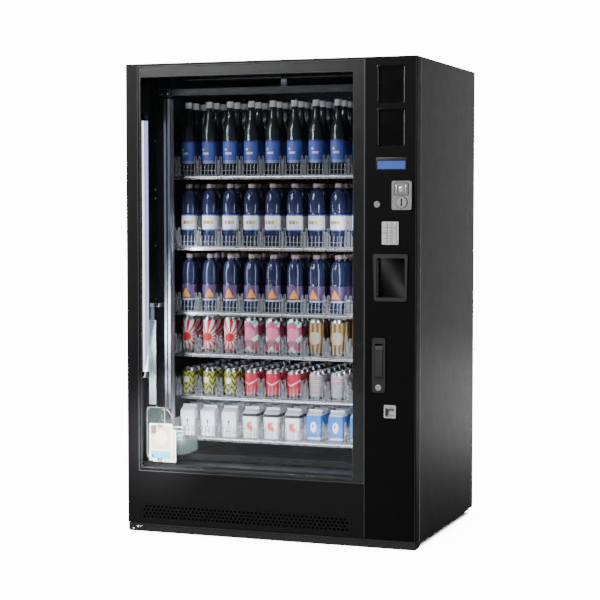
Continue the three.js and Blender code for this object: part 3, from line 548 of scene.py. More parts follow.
def frame_ring(piece, x, z, rim, radii, d, material, bevel=0.0):
    """A rounded rectangular frame, rim wide, with its outer and inner corner radii."""
    inner = rounded(grow(x, -rim), grow(z, -rim), radii[1])
    ring_outline(piece, rounded(x, z, radii[0]), inner, d, material, bevel)


def perforated(piece, x, z, field, rows, pitch, radius, d, material):
    """A sheet with staggered round holes in its field, as a shell between two depths."""
    columns = 2 * int((field[1] - field[0]) / pitch)
    xs = [field[0] + k * (field[1] - field[0]) / columns for k in range(columns + 1)]
    row_height = (field[3] - field[2]) / rows
    zs = [field[2] + k * row_height for k in range(rows + 1)]
    level = {}

    def vert(px, pz):
        key = (round(px, 4), round(pz, 4))
        if key not in level:
            level[key] = piece.bm.verts.new((px, d[0], pz))
        return level[key]

    def face(points):
        faces.append(piece.bm.faces.new([vert(*point) for point in points]))

    faces = []
    for row in range(rows):
        low, high = zs[row], zs[row + 1]
        first = row % 2
        for k in range(first, columns - 1, 2):
            left, mid, right = xs[k], xs[k + 1], xs[k + 2]
            centre = (mid, (low + high) / 2)
            for side, edge in ((-1, left), (1, right)):
                arc = [
                    (
                        centre[0] + side * radius * math.sin(math.pi * s / 6),
                        centre[1] - radius * math.cos(math.pi * s / 6),
                    )
                    for s in range(7)
                ]
                face([(mid, low), *arc, (mid, high), (edge, high), (edge, low)])
        if first:
            face([(xs[0], low), (xs[1], low), (xs[1], high), (xs[0], high)])
            face([(xs[-2], low), (xs[-1], low), (xs[-1], high), (xs[-2], high)])
    face([(x[0], z[0]), (x[1], z[0]), *[(px, zs[0]) for px in (x[1], *xs[::-1], x[0])]])
    face([(x[0], z[1]), (x[1], z[1]), *[(px, zs[-1]) for px in (x[1], *xs[::-1], x[0])]])
    for side, edge in ((x[0], xs[0]), (x[1], xs[-1])):
        face([(side, zs[0]), *[(edge, pz) for pz in zs], (side, zs[-1])])
    bmesh.ops.recalc_face_normals(piece.bm, faces=faces)
    shell = bmesh.ops.extrude_face_region(piece.bm, geom=faces, use_keep_orig=True)["geom"]
    moved = [item for item in shell if isinstance(item, bmesh.types.BMVert)]
    bmesh.ops.translate(piece.bm, verts=moved, vec=(0, d[1] - d[0], 0))
    piece.paint(piece.bm.faces, material)
    bmesh.ops.recalc_face_normals(piece.bm, faces=piece.bm.faces)


def screw(piece, centre, radius=3.0, proud=1.6, facing=(0, -1)):
    """A domed screw head with a cross recess, facing along -d, +d, +x or -x."""
    profile = [(0, proud - 0.9), (radius * 0.3, proud - 0.9), (radius * 0.34, proud)]
    profile += [(radius * 0.8, proud * 0.8), (radius, proud * 0.3), (radius, -0.2), (0, -0.2)]
    verts = piece.lathe(profile, (0, 0, 0), SCREW, 12, axis="d")
    turn = math.atan2(facing[1], facing[0]) + math.pi / 2
    matrix = Matrix.Translation(centre) @ Matrix.Rotation(turn, 4, "Z")
    bmesh.ops.transform(piece.bm, matrix=matrix, verts=verts)


# ---------------------------------------------------------------- studio
def make_camera():
    data = bpy.data.cameras.new("camera")
    data.lens = 101.0
    data.sensor_width = 36
    data.clip_end = 60
    camera = add("camera", data)
    camera.location = (2.3173, FRONT - 5.959, 1.2801)
    camera.rotation_euler = (math.radians(90 - 3.2), 0, math.radians(20.13))
    bpy.context.scene.camera = camera
    return camera


def make_light(name, place, target, size, power, color=(1, 1, 1), turn=0.0, spread=180):
    data = bpy.data.lights.new(name, "AREA")
    data.shape = "RECTANGLE"
    data.size, data.size_y = size
    data.energy = power
    data.color = color
    data.spread = math.radians(spread)
    light = add(name, data)
    light.location = place
    aim = Vector(target) - Vector(place)
    light.rotation_euler = (aim.to_track_quat("-Z", "Y") @ Euler((0, 0, turn)).to_quaternion()).to_euler()
    light.visible_camera = False
    return light


def make_floor():
    """A pale floor that turns up into a pale wall far behind."""
    piece = Piece()
    path = [(-9000, 0), (7000, 0)]
    path += [
        (7000 + 2500 * math.sin(math.radians(a)), 2500 - 2500 * math.cos(math.radians(a)))
        for a in range(10, 91, 10)
    ]
    path.append((9500, 9000))
    for (d0, z0), (d1, z1) in zip(path, path[1:]):
        corners = [(-12000, d0, z0), (12000, d0, z0), (12000, d1, z1), (-12000, d1, z1)]
        piece.bm.faces.new([piece.bm.verts.new(c) for c in corners])
    bmesh.ops.remove_doubles(piece.bm, verts=piece.bm.verts, dist=0.1)
    finish = Finish("floor_pale", roughness=0.7)
    finish.color(finish.mottle(finish.noise(3.0), (0.80, 0.80, 0.80), (0.84, 0.84, 0.84)))
    finish.bump(finish.noise(200.0), 0.0002)
    # To the camera the floor glows as bright as the backdrop, darkened by ambient occlusion: painted shade
    # near and under the machine.
    glow = finish.node("ShaderNodeEmission")
    near = finish.node("ShaderNodeAmbientOcclusion", samples=8)
    near.inputs["Distance"].default_value = 0.35
    open_air = (Field(finish, near.outputs["AO"]) - 0.3) * 4.0
    shade = open_air.math("MAXIMUM", 0.002).math("MINIMUM", 1.0)
    finish.feed(glow.inputs["Strength"], shade * BACKDROP)
    camera_ray = finish.node("ShaderNodeLightPath")
    mixed = finish.node("ShaderNodeMixShader")
    finish.feed(mixed.inputs["Fac"], camera_ray.outputs["Is Camera Ray"])
    finish.feed(mixed.inputs[1], finish.shader.outputs[0])
    finish.feed(mixed.inputs[2], glow.outputs[0])
    finish.feed(finish.tree.nodes["Material Output"].inputs["Surface"], mixed.outputs[0])
    piece.index(finish.material)
    made = piece.mesh("floor")
    made.transform(TO_WORLD)
    return add("floor", made)


def make_world():
    """White to the camera, softer in reflections and as light."""
    world = bpy.data.worlds.new("studio")
    bpy.context.scene.world = world
    world.use_nodes = True
    nodes, links = world.node_tree.nodes, world.node_tree.links
    background = nodes["Background"]
    path = nodes.new("ShaderNodeLightPath")
    strength = nodes.new("ShaderNodeMapRange")
    background.inputs["Color"].default_value = (1, 1, 1, 1)
    strength.inputs["To Min"].default_value = 0.06
    strength.inputs["To Max"].default_value = BACKDROP
    links.new(path.outputs["Is Camera Ray"], strength.inputs["Value"])
    links.new(strength.outputs[0], background.inputs["Strength"])


def make_studio():
    floor = make_floor()
    card = (-0.47, FRONT + 0.05, 0.35)
    lights = [
        make_light("key_soft", (-2.6, -4.2, 3.6), (0, 0, 0.9), (2.4, 2.4), 290),
        make_light("right_soft", (1.02, 2.2, 0.7), (0.59, 0.2, 0.8), (0.5, 3.4), 6),
        make_light("card_fill", (-0.2, FRONT - 1.0, 0.9), card, (0.1, 0.1), 1.5, spread=22),
        make_light("right_low", (0.98, 1.7, 0.3), (0.59, 0.2, 0.15), (0.5, 0.5), 1.0),
        make_light(
            "sheen_card", (-0.61, FRONT - 3.6, 0.85), (0.49, FRONT, 1.0), (0.06, 0.4), 0.11, turn=0.6
        ),
        make_light("top_soft", (0.2, -0.8, 4.6), (0, 0, 0.5), (3.5, 3.5), 14),
    ]
    make_camera()
    make_world()


make_studio()


# ---------------------------------------------------------------- cabinet
def make_casing():
    """Folded sheet casing, with a painted highlight: a pale strip down its right front edge."""
    refined("outer_casing", CASING, "cabinet", "casing_black", 1.2, 3)
    piece = Piece()
    x, d, z = limits("outer_casing")
    # A pale strip down the right front edge: a painted highlight where the edge catches light.
    edge_highlight_x, edge_highlight_d = (x[1] - 3.4, x[1] - 0.1), (50.8, 56.4)
    piece.box(edge_highlight_x, edge_highlight_d, grow(z, -1), EDGE_HIGHLIGHT, 0.4, 2)
    piece.finish("casing_edge_highlight", "cabinet", "casing_black")


def make_back_details():
    """Screw heads round the rear panel."""
    piece = Piece()
    x, d, z = limits("back_panel")
    inset, inner, rows = 12, 290, 5
    columns = (x[0] + inset, x[0] + inner, middle(x), x[1] - inner, x[1] - inset)
    places = [(px, pz) for px in columns for pz in (z[0] + 14, z[1] - 14)]
    for k in range(1, rows):
        places += [(px, z[0] + k * (z[1] - z[0]) / rows) for px in (columns[0], columns[-1])]
    for px, pz in places:
        screw(piece, (px, d[1] - 0.05, pz), 4.5, 0.3, (0, 1))
    piece.finish("rear_screws", "cabinet", "screw_zinc")


def make_base():
    """The base frame and four levelling feet with threaded stems."""
    refined("base_frame", DARK_STEEL, "cabinet", "base_black", 0.8)
    stem, thread, pitch = 7, 0.8, 1.4
    for side in ("left", "right"):
        for end in ("front", "rear"):
            node = f"foot_{end}_{side}"
            x, d, z = limits(node)
            piece = Piece()
            centre = (middle(x), middle(d), 0)
            radius = (x[1] - x[0]) / 2
            pad = [(0, z[0]), (radius * 0.9, z[0]), (radius, z[0] + 1.2), (radius, z[0] + 5)]
            pad += [(radius * 0.86, z[0] + 8), (radius * 0.42, z[0] + 9)]
            piece.lathe(pad, centre, RUBBER_AND_GAP_SHADE, 40)
            threads = [(0, z[0] + 9), (stem, z[0] + 9)]
            level = z[0] + 9.5
            while level < z[1] - 1.5:
                threads += [(stem, level), (stem - thread, level + pitch / 2)]
                level += pitch
            threads += [(stem, z[1] - 0.5), (stem - thread, z[1]), (0, z[1])]
            piece.lathe(threads, centre, SCREW, 24)
            piece.finish(node + "_fine", "cabinet", "foot_rubber", node)


def make_kick():
    """The perforated strip under the door."""
    piece = Piece()
    x, d, z = limits("kick_plate")
    sheet, rows, pitch, hole_radius = 1.5, 3, 12.0, 2.3
    face = (d[0], d[0] + sheet)
    field = (*grow(x, -14), *grow(z, -4))
    perforated(piece, x, z, field, rows, pitch, hole_radius, face, DARK_STEEL)
    piece.box(x, (face[1], d[1]), (z[1] - sheet, z[1]), DARK_STEEL, 0.3, 1)
    for side in (x[0], x[1] - sheet):
        piece.box((side, side + sheet), (face[1], d[1] - 2), (z[0], z[1] - sheet), DARK_STEEL, 0.2, 1)
    for px in (-545, 545):
        piece.box(about(px, 14), (face[1], d[1]), (z[0], z[0] + 2), DARK_STEEL, 0.3, 1)
    piece.finish("kick_plate_fine", "cabinet", "kick_black", "kick_plate")


LEFT_WALL = -565.8
BACK_WALL = 805.8


def make_liner():
    """The dark insulated compartment, its air duct and wall screws."""
    refined("insulated_liner", LINER, "cabinet", "liner_dark", 1.0, 2)
    piece = Piece()
    head, proud, louvre, pitch = 4.2, 1.8, 40, 60
    for level in (300, 330, 355, 470, 690, 905, 1120, 1310, 1345, 1540, 1740):
        screw(piece, (LEFT_WALL, 215, level), head, proud, (1, 0))
    for px in (-420, -180, 60, 300):
        for level in (640, 1240, 1735):
            screw(piece, (px, BACK_WALL, level), head, proud)
    duct_x, duct_z = (-490, 330), (1500, 1715)
    piece.box(duct_x, (BACK_WALL - 1.6, BACK_WALL + 0.1), duct_z, LINER, 0.5)
    louvre_d = (BACK_WALL - 2.6, BACK_WALL - 1.4)
    for column in range(13):
        px = duct_x[0] + 24 + column * pitch
        for level in (1600, 1640):
            piece.box((px, px + louvre), louvre_d, (level, level + 6), DARK_STEEL, 0.4, 1)
    piece.finish("liner_fittings", "cabinet", "liner_dark")


def make_lamps():
    """The upright lamp on the left wall and the strip light over the top shelf."""
    x, d, z = limits("light_tube")
    tube, cap, cap_height = 13, 14, 24
    centre = (x[1] - cap, middle(d), 0)
    piece = Piece()
    for low, high in ((z[0], z[0] + cap_height), (z[1] - cap_height, z[1])):
        profile = [
            (0, low), (cap - 1.5, low), (cap, low + 1.5), (cap, high - 1.5), (cap - 1.5, high),
            (0, high)
        ]
        piece.lathe(profile, centre, MOULDED, 28)
        piece.box((x[0], centre[0]), grow((centre[1], centre[1]), 6), (low + 3, high - 3), MOULDED, 1.0)
    body = [(0, z[0] + cap_height - 2), (tube, z[0] + cap_height - 2), (tube, z[1] - cap_height + 2)]
    body.append((0, z[1] - cap_height + 2))
    piece.lathe(body, centre, LAMP_WHITE, 28)
    white, side = piece.index(LAMP_WHITE), centre[0] + 1.5
    glowing = [face for face in piece.bm.faces if face.material_index == white]
    piece.paint([face for face in glowing if face.calc_center_median().x > side], LAMP_LILAC)
    piece.finish("light_tube_fine", "cabinet", "lamp_white", "light_tube")
    strip = Piece()
    strip_x, ceiling, cap = (-452, 342), 1794.6, 6
    strip.box(strip_x, (238, 254), (1784, ceiling), RAIL_DARK, 0.8)
    strip.box(grow(strip_x, -4), (240, 252), (1781.6, 1784.4), STRIP_WHITE, 1.0)
    for px in (strip_x[0], strip_x[1] - cap):
        strip.box((px, px + cap), (237, 255), (1779, ceiling + 0.1), MOULDED, 0.8)
    strip.finish("strip_light", "cabinet", "lamp_white")


# ---------------------------------------------------------------- shelves
RAIL_CENTRES = (1392, 1108, 846, 678, 507, 340)
LANES = 9
LANE_PITCH = 91
LANE_FIRST = -488
SHELF_FRONT = 246
SHELF_BACK = 800


def lane_centre(lane):
    return LANE_FIRST + LANE_PITCH * (lane + 0.5)


def extrusion(centre):
    """The section of a shelf's front rail, as (d, z) points."""
    front, top, low = SHELF_FRONT, centre + 6, centre - 6
    outline = [(front + 3.6, low), (front + 3.6, low + 2), (front + 0.8, low + 3.2), (front, low + 4.6)]
    outline += [(front, top - 2.2), (front + 0.5, top - 0.8), (front + 1.4, top), (front + 4, top)]
    return [*outline, (front + 4, low)]


def make_shelf_tray(number, centre):
    """A tray: bright front rails, end blocks, a floor with two runners in each lane, and side sheets."""
    piece = Piece()
    node = f"shelf_tray_{number}"
    x, d, z = limits(node)
    gap, sheet, runner_height = 0.8, 2, 2.2
    floor_z = (centre + 7, centre + 8.4)
    for lane in range(LANES):
        left = LANE_FIRST + LANE_PITCH * lane
        piece.prism(extrusion(centre), "x", left + gap, left + LANE_PITCH - gap, ALUMINIUM)
    for block_x in ((x[0], x[0] + 24), (x[1] - 16, x[1])):
        piece.box(block_x, (SHELF_FRONT, SHELF_FRONT + 6), (z[0] + 1, centre + 8), MOULDED, 0.8)
    piece.box(x, (SHELF_FRONT + 4, SHELF_BACK), floor_z, ALUMINIUM, 0.3, 1)
    low, high = floor_z[1], floor_z[1] + runner_height
    for lane in range(LANES):
        for offset in (-17, 17):
            px = lane_centre(lane) + offset
            runner = [(px - 4, low), (px - 3, high), (px + 3, high), (px + 4, low)]
            piece.prism(runner, "d", SHELF_FRONT + 12, SHELF_BACK - 6, GUIDE_CLEAR)
    for edge, inward in ((x[0], 1), (x[1], -1)):
        side_x = sorted((edge, edge + inward * sheet))
        piece.box(side_x, (SHELF_FRONT + 6, d[1]), z, ALUMINIUM, 0.4, 1)
        for pd in (290, 420, 560, 700):
            screw(piece, (edge, pd, centre), 3.4, 1.2, (-inward, 0))
    piece.box(x, (SHELF_BACK, d[1]), (z[0], z[1] - 4), ALUMINIUM, 0.4, 1)
    piece.finish(node + "_fine", "cabinet", "shelf_aluminium", node)


def make_lane_guides(number, centre):
    """Clear dividers, their front gates and the curved comb that holds the front item in each lane."""
    piece = Piece()
    node = f"lane_guides_{number}"
    x, d, z = limits(node)
    # The gates, posts, steps and comb ribs are in the whiter clear plastic: a painted highlight on their
    # edges.
    base, top, face = centre + 12, z[1], SHELF_FRONT + 5.4
    post_d = face + 1.3
    for i in range(LANES + 1):
        px = LANE_FIRST + LANE_PITCH * i
        divider_x = within(about(px, 1.2), x)
        for level in ((base - 2, base + 34), (base + 34, base + 38)):
            piece.box(divider_x, (face + 3, SHELF_BACK - 20), level, GUIDE_CLEAR, 0.4, 1)
        for gate in (within((px - 13, px - 5), x), within((px + 5, px + 13), x)):
            if gate[1] - gate[0] < 3:
                continue
            outline = rounded(gate, (base - 3, top), 3.4, 0, 3)
            hole = rounded(grow(gate, -1.5), (base + 2, top - 1.8), 2, 0, 3)
            ring_outline(piece, outline, hole, (face, face + 2.6), GUIDE_EDGE_HIGHLIGHT)
            piece.prism(hole, "d", face + 0.9, face + 1.7, GUIDE_CLEAR)
        piece.tube([(px, post_d, base - 3), (px, post_d, top - 14)], 1.6, GUIDE_EDGE_HIGHLIGHT, 6)
        for level in (base + 10, base + 32, base + 54):
            step_x = within(about(px, 6), x)
            piece.box(step_x, (face + 0.4, face + 2.2), about(level, 1.2), GUIDE_EDGE_HIGHLIGHT, 0.3, 1)
    teeth, width = 5, LANE_PITCH - 30
    for lane in range(LANES):
        left = LANE_FIRST + LANE_PITCH * lane + 15
        for k in range(teeth):
            px = left + k * width / (teeth - 1)
            arch = []
            for s in range(8):
                turn = math.radians(105 * s / 7)
                arch.append((px, face + 3.6 + 5 * (1 - math.cos(turn)), base - 2 + 42 * math.sin(turn)))
            piece.tube(arch, 1.0, GUIDE_EDGE_HIGHLIGHT, 6, (3.0, 1.7))
        span = (left - 2, left + width + 2)
        piece.box(span, about(face + 3.6, 1.4), (base - 3, base + 1), GUIDE_EDGE_HIGHLIGHT, 0.4, 1)
        piece.tube([(px, face + 4.6, base + 17) for px in span], 0.8, GUIDE_EDGE_HIGHLIGHT, 6)
    piece.finish(node + "_fine", "cabinet", "guide_clear", node)


def make_shelves():
    for number, centre in enumerate(RAIL_CENTRES, 1):
        make_shelf_tray(number, centre)
        make_lane_guides(number, centre)


make_casing()
make_back_details()
make_base()
make_kick()
make_liner()
make_lamps()
make_shelves()


# ---------------------------------------------------------------- door
SIGHT_X = (-531, 341)
SIGHT_Z = (254, 1779)


def pane(name, tint, gloss, haze, strength=0.85):
    """Clear glass: see-through with a mirror coat that grows towards grazing views."""
    made = Finish(name, roughness=gloss, metallic=1.0)
    made.color(made.mottle(made.noise(12.0), tuple(c * 0.96 for c in tint), tint))
    made.rough(made.spread(made.noise(40.0), gloss, gloss + 0.02))
    coat = made.node("ShaderNodeFresnel")
    coat.inputs["IOR"].default_value = 1.45
    made.feed(made.shader.inputs["Alpha"], Field(made, coat.outputs[0]) * strength + haze)
    return made.material


GLASS = pane("door_glass", (0.90, 0.96, 0.95), 0.02, 0.002, 0.2)
LCD = lit("display_blue", (0.035, 0.105, 0.42), 0.42)


def make_door():
    """The door's frame, gasket, two-pane glass with its border and spacer, and the vent grille."""
    refined("door_frame", DOOR_BLACK, "door", "door_black", 1.2, 3)
    refined("door_gasket", RUBBER_AND_GAP_SHADE, "door", "gasket_rubber", 1.6, 3)
    glass = Piece()
    x, d, z = limits("door_glass")
    sheet = rounded(grow(x, -0.2), grow(z, -0.2), 3, 0, 2)
    border = rounded(grow(x, -1), grow(z, -1), 3, 0, 2)
    sight = rounded(SIGHT_X, SIGHT_Z, 6, 0, 2)
    thick = 4
    for front in (d[0], d[1] - thick):
        glass.prism(sheet, "d", front, front + thick, GLASS, 0.3, 1)
    ring_outline(glass, border, sight, (d[0] + 4.2, d[0] + 4.8), FRIT)
    spacer_x = (x[0] + 3, SIGHT_X[1] + 3)
    outer = rounded(spacer_x, grow(SIGHT_Z, 2), 4, 0, 2)
    inner = rounded(grow(spacer_x, -3), grow(SIGHT_Z, -2), 3, 0, 2)
    ring_outline(glass, outer, inner, (d[0] + 9, d[1] - thick - 0.4), HANDLE_GREY, 0.4)
    trim = rounded(grow(x, -2.6), grow(z, -2.6), 2.5, 0, 2)
    ring_outline(glass, sheet, trim, (d[0] - 0.6, d[0] - 0.1), TRIM_GREY_AND_SEAM_HIGHLIGHT)
    sight_line = rounded(grow(SIGHT_X, 1.4), grow(SIGHT_Z, 1.4), 6, 0, 2)
    ring_outline(glass, sight_line, sight, (d[0] + 4.05, d[0] + 4.15), TRIM_GREY_AND_SEAM_HIGHLIGHT)
    glass.finish("door_glass_fine", "door", "door_glass", "door_glass")
    grille = Piece()
    x, d, z = limits("vent_grille")
    gauge, rows, pitch, hole_radius = 1.5, 4, 17, 5
    field = (*grow(x, -10), *grow(z, -4))
    perforated(grille, x, z, field, rows, pitch, hole_radius, (d[0], d[0] + gauge), DOOR_BLACK)
    for px in (x[0], x[1] - gauge):
        grille.box((px, px + gauge), (d[0] + gauge, d[1]), z, DOOR_BLACK, 0.2, 1)
    grille.finish("vent_grille_fine", "door", "grille_black", "vent_grille")


def make_windows():
    """Two dark recessed windows with bright bevelled edges left and right."""
    for node in ("window_upper", "window_lower"):
        piece = Piece()
        x, d, z = limits(node)
        rim, recess = 4, 11
        frame_ring(piece, x, z, rim, (6, 4), (d[0], d[1] - 2), GLOSS_BLACK, 0.5)
        floor = rounded(grow(x, -rim + 0.5), grow(z, -rim + 0.5), 4)
        piece.prism(floor, "d", d[0] + recess, d[1], GLOSS_BLACK, 0.3, 1)
        for px, width in ((x[0] + rim - 0.2, 1.0), (x[1] - rim - 1.6, 1.8)):
            piece.box((px, px + width), (d[0] + 0.6, d[0] + recess), grow(z, -rim - 3), POLISHED, 0.3, 1)
        piece.finish(node + "_fine", "door", "window_gloss", node)


def make_display():
    """A grey surround with a hood over the lit blue display."""
    piece = Piece()
    x, d, z = limits("display_module")
    piece.prism(rounded(x, z, 3), "d", d[0] + 0.8, d[1], HANDLE_GREY, 0.5)
    piece.box(grow(x, -2), (d[0] + 0.2, d[0] + 4), (z[1] - 10, z[1] - 1.5), MOULDED, 0.5)
    outer = rounded(grow(x, -2), (z[0] + 1.5, z[1] - 11), 2)
    inner = rounded(grow(x, -5), (z[0] + 4, z[1] - 13), 1.5)
    ring_outline(piece, outer, inner, (d[0], d[0] + 3), GLOSS_BLACK, 0.3)
    piece.box(grow(x, -4.5), (d[0] + 0.7, d[0] + 3), (z[0] + 3.5, z[1] - 12.5), LCD, 0.2, 1)
    piece.finish("display_module_fine", "door", "display_grey", "display_module")


# The bars of a seven-bar numeral as (side, row, lies flat), and the bars of each key's mark.
SEGMENTS = {
    "a": (0, 2, 1), "b": (1, 1, 0), "c": (1, 0, 0), "d": (0, 0, 1),
    "e": (-1, 0, 0), "f": (-1, 1, 0), "g": (0, 1, 1),
}
NUMERALS = (
    "bc", "abged", "abgcd", "fgbc", "afgcd", "afgedc", "abc", "abcdefg", "abcdfg", "g", "abcdef", "ag",
)


def make_keypad():
    """A silver bezel with twelve keys, their numerals and a dark ring of painted shade in the gap round
    each key.
    """
    refined("keypad_bezel", BEZEL_SILVER, "door", "keypad_silver", 0.7)
    gap_shade = Piece()
    bar_pitch = 3.2
    face = limits("keypad_bezel")[1][0]
    for number, lit_bars in enumerate(NUMERALS, 1):
        node = f"key_{number:02d}"
        x, d, z = limits(node)
        piece = Piece()
        piece.prism(rounded(x, z, 2.2), "d", d[0] + 0.15, d[1], KEY_SILVER, 0.8)
        for bar in lit_bars:
            side, row, flat = SEGMENTS[bar]
            cx = middle(x) + side * 2
            cz = middle(z) + (row - 1) * bar_pitch + (0 if flat else bar_pitch / 2)
            size = (1.9, 0.5) if flat else (0.5, 1.7)
            piece.box(about(cx, size[0]), (d[0], d[0] + 0.5), about(cz, size[1]), RUBBER_AND_GAP_SHADE, 0, 1)
        piece.finish(node + "_fine", node, "key_silver", node)
        # A dark ring in the gap round each key: painted shade.
        gap_shade_d = (face - 0.15, face + 0.5)
        frame_ring(gap_shade, grow(x, 1.3), grow(z, 1.3), 1.05, (2.6, 2.3), gap_shade_d, RUBBER_AND_GAP_SHADE)
    gap_shade.finish("key_gap_shade", "door", "keypad_silver")


def make_coin_parts():
    """The coin plate with its slot and return button, the changer behind it, and the coin cup; dark pieces
    of painted shade fill the slot, the groove round its boss and the gap round the button.
    """
    slot_x, slot_z, slot_radius = 533.5, 1293, 20.6
    x, d, z = limits("coin_plate")

    def on_boss(point):
        return point.y < d[0] + 2.6 and math.hypot(point.x - slot_x, point.z - slot_z) < slot_radius

    refined("coin_plate", DIE_CAST, "door", "die_cast", 1.2, 3, accent=(POLISHED, on_boss))
    refined("coin_changer", HANDLE_GREY, "door", "changer_grey", 1.2)
    # Painted shade: a dark ring in the groove round the slot's boss, a dark plate over the slot and a dark
    # ring in the gap round the return button.
    slot = Piece()
    rim = [(slot_radius, 0), (slot_radius, 0.5), (22.6, 0.5), (22.6, 0), (slot_radius, 0)]
    slot.lathe(rim, (slot_x, d[0] + 2.9, slot_z), RUBBER_AND_GAP_SHADE, 48, axis="d")
    slot.box((530.4, 536.6), (d[0] - 0.01, d[0] + 0.6), (1279, 1307), RUBBER_AND_GAP_SHADE, 0.1, 1)
    seat_x, seat_d, seat_z = limits("coin_return_button")
    gap_shade_x, gap_shade_z, gap_shade_d = grow(seat_x, 2.0), grow(seat_z, 2.0), (d[0] + 2.6, d[0] + 3.2)
    frame_ring(slot, gap_shade_x, gap_shade_z, 1.5, (4.8, 4), gap_shade_d, RUBBER_AND_GAP_SHADE)
    slot.finish("coin_slot_shade", "door", "die_cast")
    button = Piece()
    front = seat_d[0]
    centre = (middle(seat_x), front + 0.9, middle(seat_z))
    button.prism(rounded(seat_x, seat_z, 4), "d", front + 2.2, front + 5, DIE_CAST, 0.8)
    button.box(about(centre[0], 4), (front + 4, seat_d[1]), about(centre[2], 4), DIE_CAST, 0.6)
    dome = [(0, 0.9), (4, 0.7), (9, 0.3), (10.5, -0.6), (11, -1.5), (0, -1.5)]
    button.lathe(dome, centre, POLISHED, 32, axis="d")
    for step in (-1, 1):
        button.box(
            about(centre[0] + step * 18, 3), (front + 0.1, front + 2.6), grow(seat_z, -6), POLISHED, 0.6
        )
    button.finish("coin_return_button_fine", "return_button", "die_cast", "coin_return_button")
    make_coin_cup()


def make_coin_cup():
    """A polished flange round a grey scoop whose floor slopes up to the back."""
    piece = Piece()
    x, d, z = limits("coin_cup")
    rim = 6
    mouth_x, mouth_z = grow(x, -rim), grow(z, -rim)
    frame_ring(piece, x, z, rim, (5, 3), (d[0], d[0] + 2.6), POLISHED, 0.6)
    piece.box(mouth_x, (d[0] + 1, d[1] - 8), (mouth_z[1], mouth_z[1] + 2), CUP_GREY, 0.3, 1)
    for px in (mouth_x[0] - 2, mouth_x[1]):
        piece.box((px, px + 2), (d[0] + 1, d[1] - 8), mouth_z, CUP_GREY, 0.3, 1)
    low = d[0] + 2
    scoop = [(low, mouth_z[0] - 2), (low, mouth_z[0])]
    for k in range(1, 9):
        turn = math.radians(90 * k / 8)
        scoop.append((low + 16 * math.sin(turn), mouth_z[0] + 30 * (1 - math.cos(turn))))
    scoop += [(low + 16, mouth_z[1] + 1), (low + 18, mouth_z[1] + 1), (low + 18, mouth_z[0] - 2)]
    piece.prism(scoop, "x", *grow(mouth_x, 1), CUP_GREY)
    piece.box(mouth_x, (d[0] + 2.2, d[0] + 6), (mouth_z[1] - 7, mouth_z[1]), POLISHED, 0.8)
    piece.finish("coin_cup_fine", "door", "coin_cup_silver", "coin_cup")


def make_locks():
    """The panel's round lock and the handle's lock, with a ring round the first."""
    for node, body in (("lock_cylinder", "panel_lock"), ("handle_lock", "lever_lock")):
        refined(node, NICKEL, body, "lock_nickel", 0.4)
    ring = Piece()
    section = [(8.2, 0), (8.2, 2.6), (9.2, 3.6), (11, 3.6), (12, 2.4), (12, 0), (8.2, 0)]
    ring.lathe(section, (437, -0.2, 1286), POLISHED, 40, "d")
    ring.finish("lock_trim", "door", "lock_nickel")


def make_port():
    """The delivery port: its frame, its smoked shutter and the bright edges of its mouth."""
    refined("port_frame", MOULDED, "door", "port_grey", 1.6, 3)
    refined("port_shutter", SMOKED, "shutter", "shutter_gloss", 0.8)
    piece = Piece()
    edge_width, mouth_z = 1.5, (948, 1080)
    for px in (437.2, 544.3):
        piece.box((px, px + edge_width), (3, 14), mouth_z, POLISHED, 0.4, 1)
    piece.finish("port_edges", "door", "port_grey")


def make_handle():
    """The handle's plate and lever, and the ring round its lock."""
    refined("handle_plate", HANDLE_GREY, "door", "handle_grey", 1.6, 3)
    refined("handle_lever", MOULDED, "lever", "handle_grey", 1.4, 3)
    piece = Piece()
    section = [(8.3, 0), (8.3, 1), (9.2, 1.6), (10.6, 1.6), (11.4, 0.8), (11.4, 0), (8.3, 0)]
    piece.lathe(section, (445, -4.8, 605), POLISHED, 40, "d")
    piece.finish("handle_lock_trim", "door", "lock_nickel")


def make_panel():
    """The control panel with two upright seams shown as pale strips of painted highlight, and all that is
    set in it.
    """
    refined("control_panel", PANEL_BLACK, "door", "panel_black", 0)
    seam_highlights = Piece()
    # Pale strips on the panel's two seams: a painted highlight that stands for light on their bevelled
    # edges.
    for seam_highlight_x, seam_highlight_d in (((388.5, 390.3), (-0.3, 0.8)), ((586.4, 587.4), (-3.2, -2.6))):
        seam_highlights.box(seam_highlight_x, seam_highlight_d, (36, 1828), TRIM_GREY_AND_SEAM_HIGHLIGHT, 0.2, 1)
    seam_highlights.finish("panel_seam_highlight", "door", "door_black")
    make_windows()
    make_display()
    make_keypad()
    make_coin_parts()
    make_locks()
    make_port()
    make_handle()


# ---------------------------------------------------------------- lift and cooling
def make_lift():
    """The cross rails, the grooved mast with its saddles and clear cable guide, and the delivery cup."""
    for node in ("top_rail", "bottom_rail"):
        refined(node, RAIL_DARK, "cabinet", "rail_grey", 0.8)
    make_mast()
    make_cup()


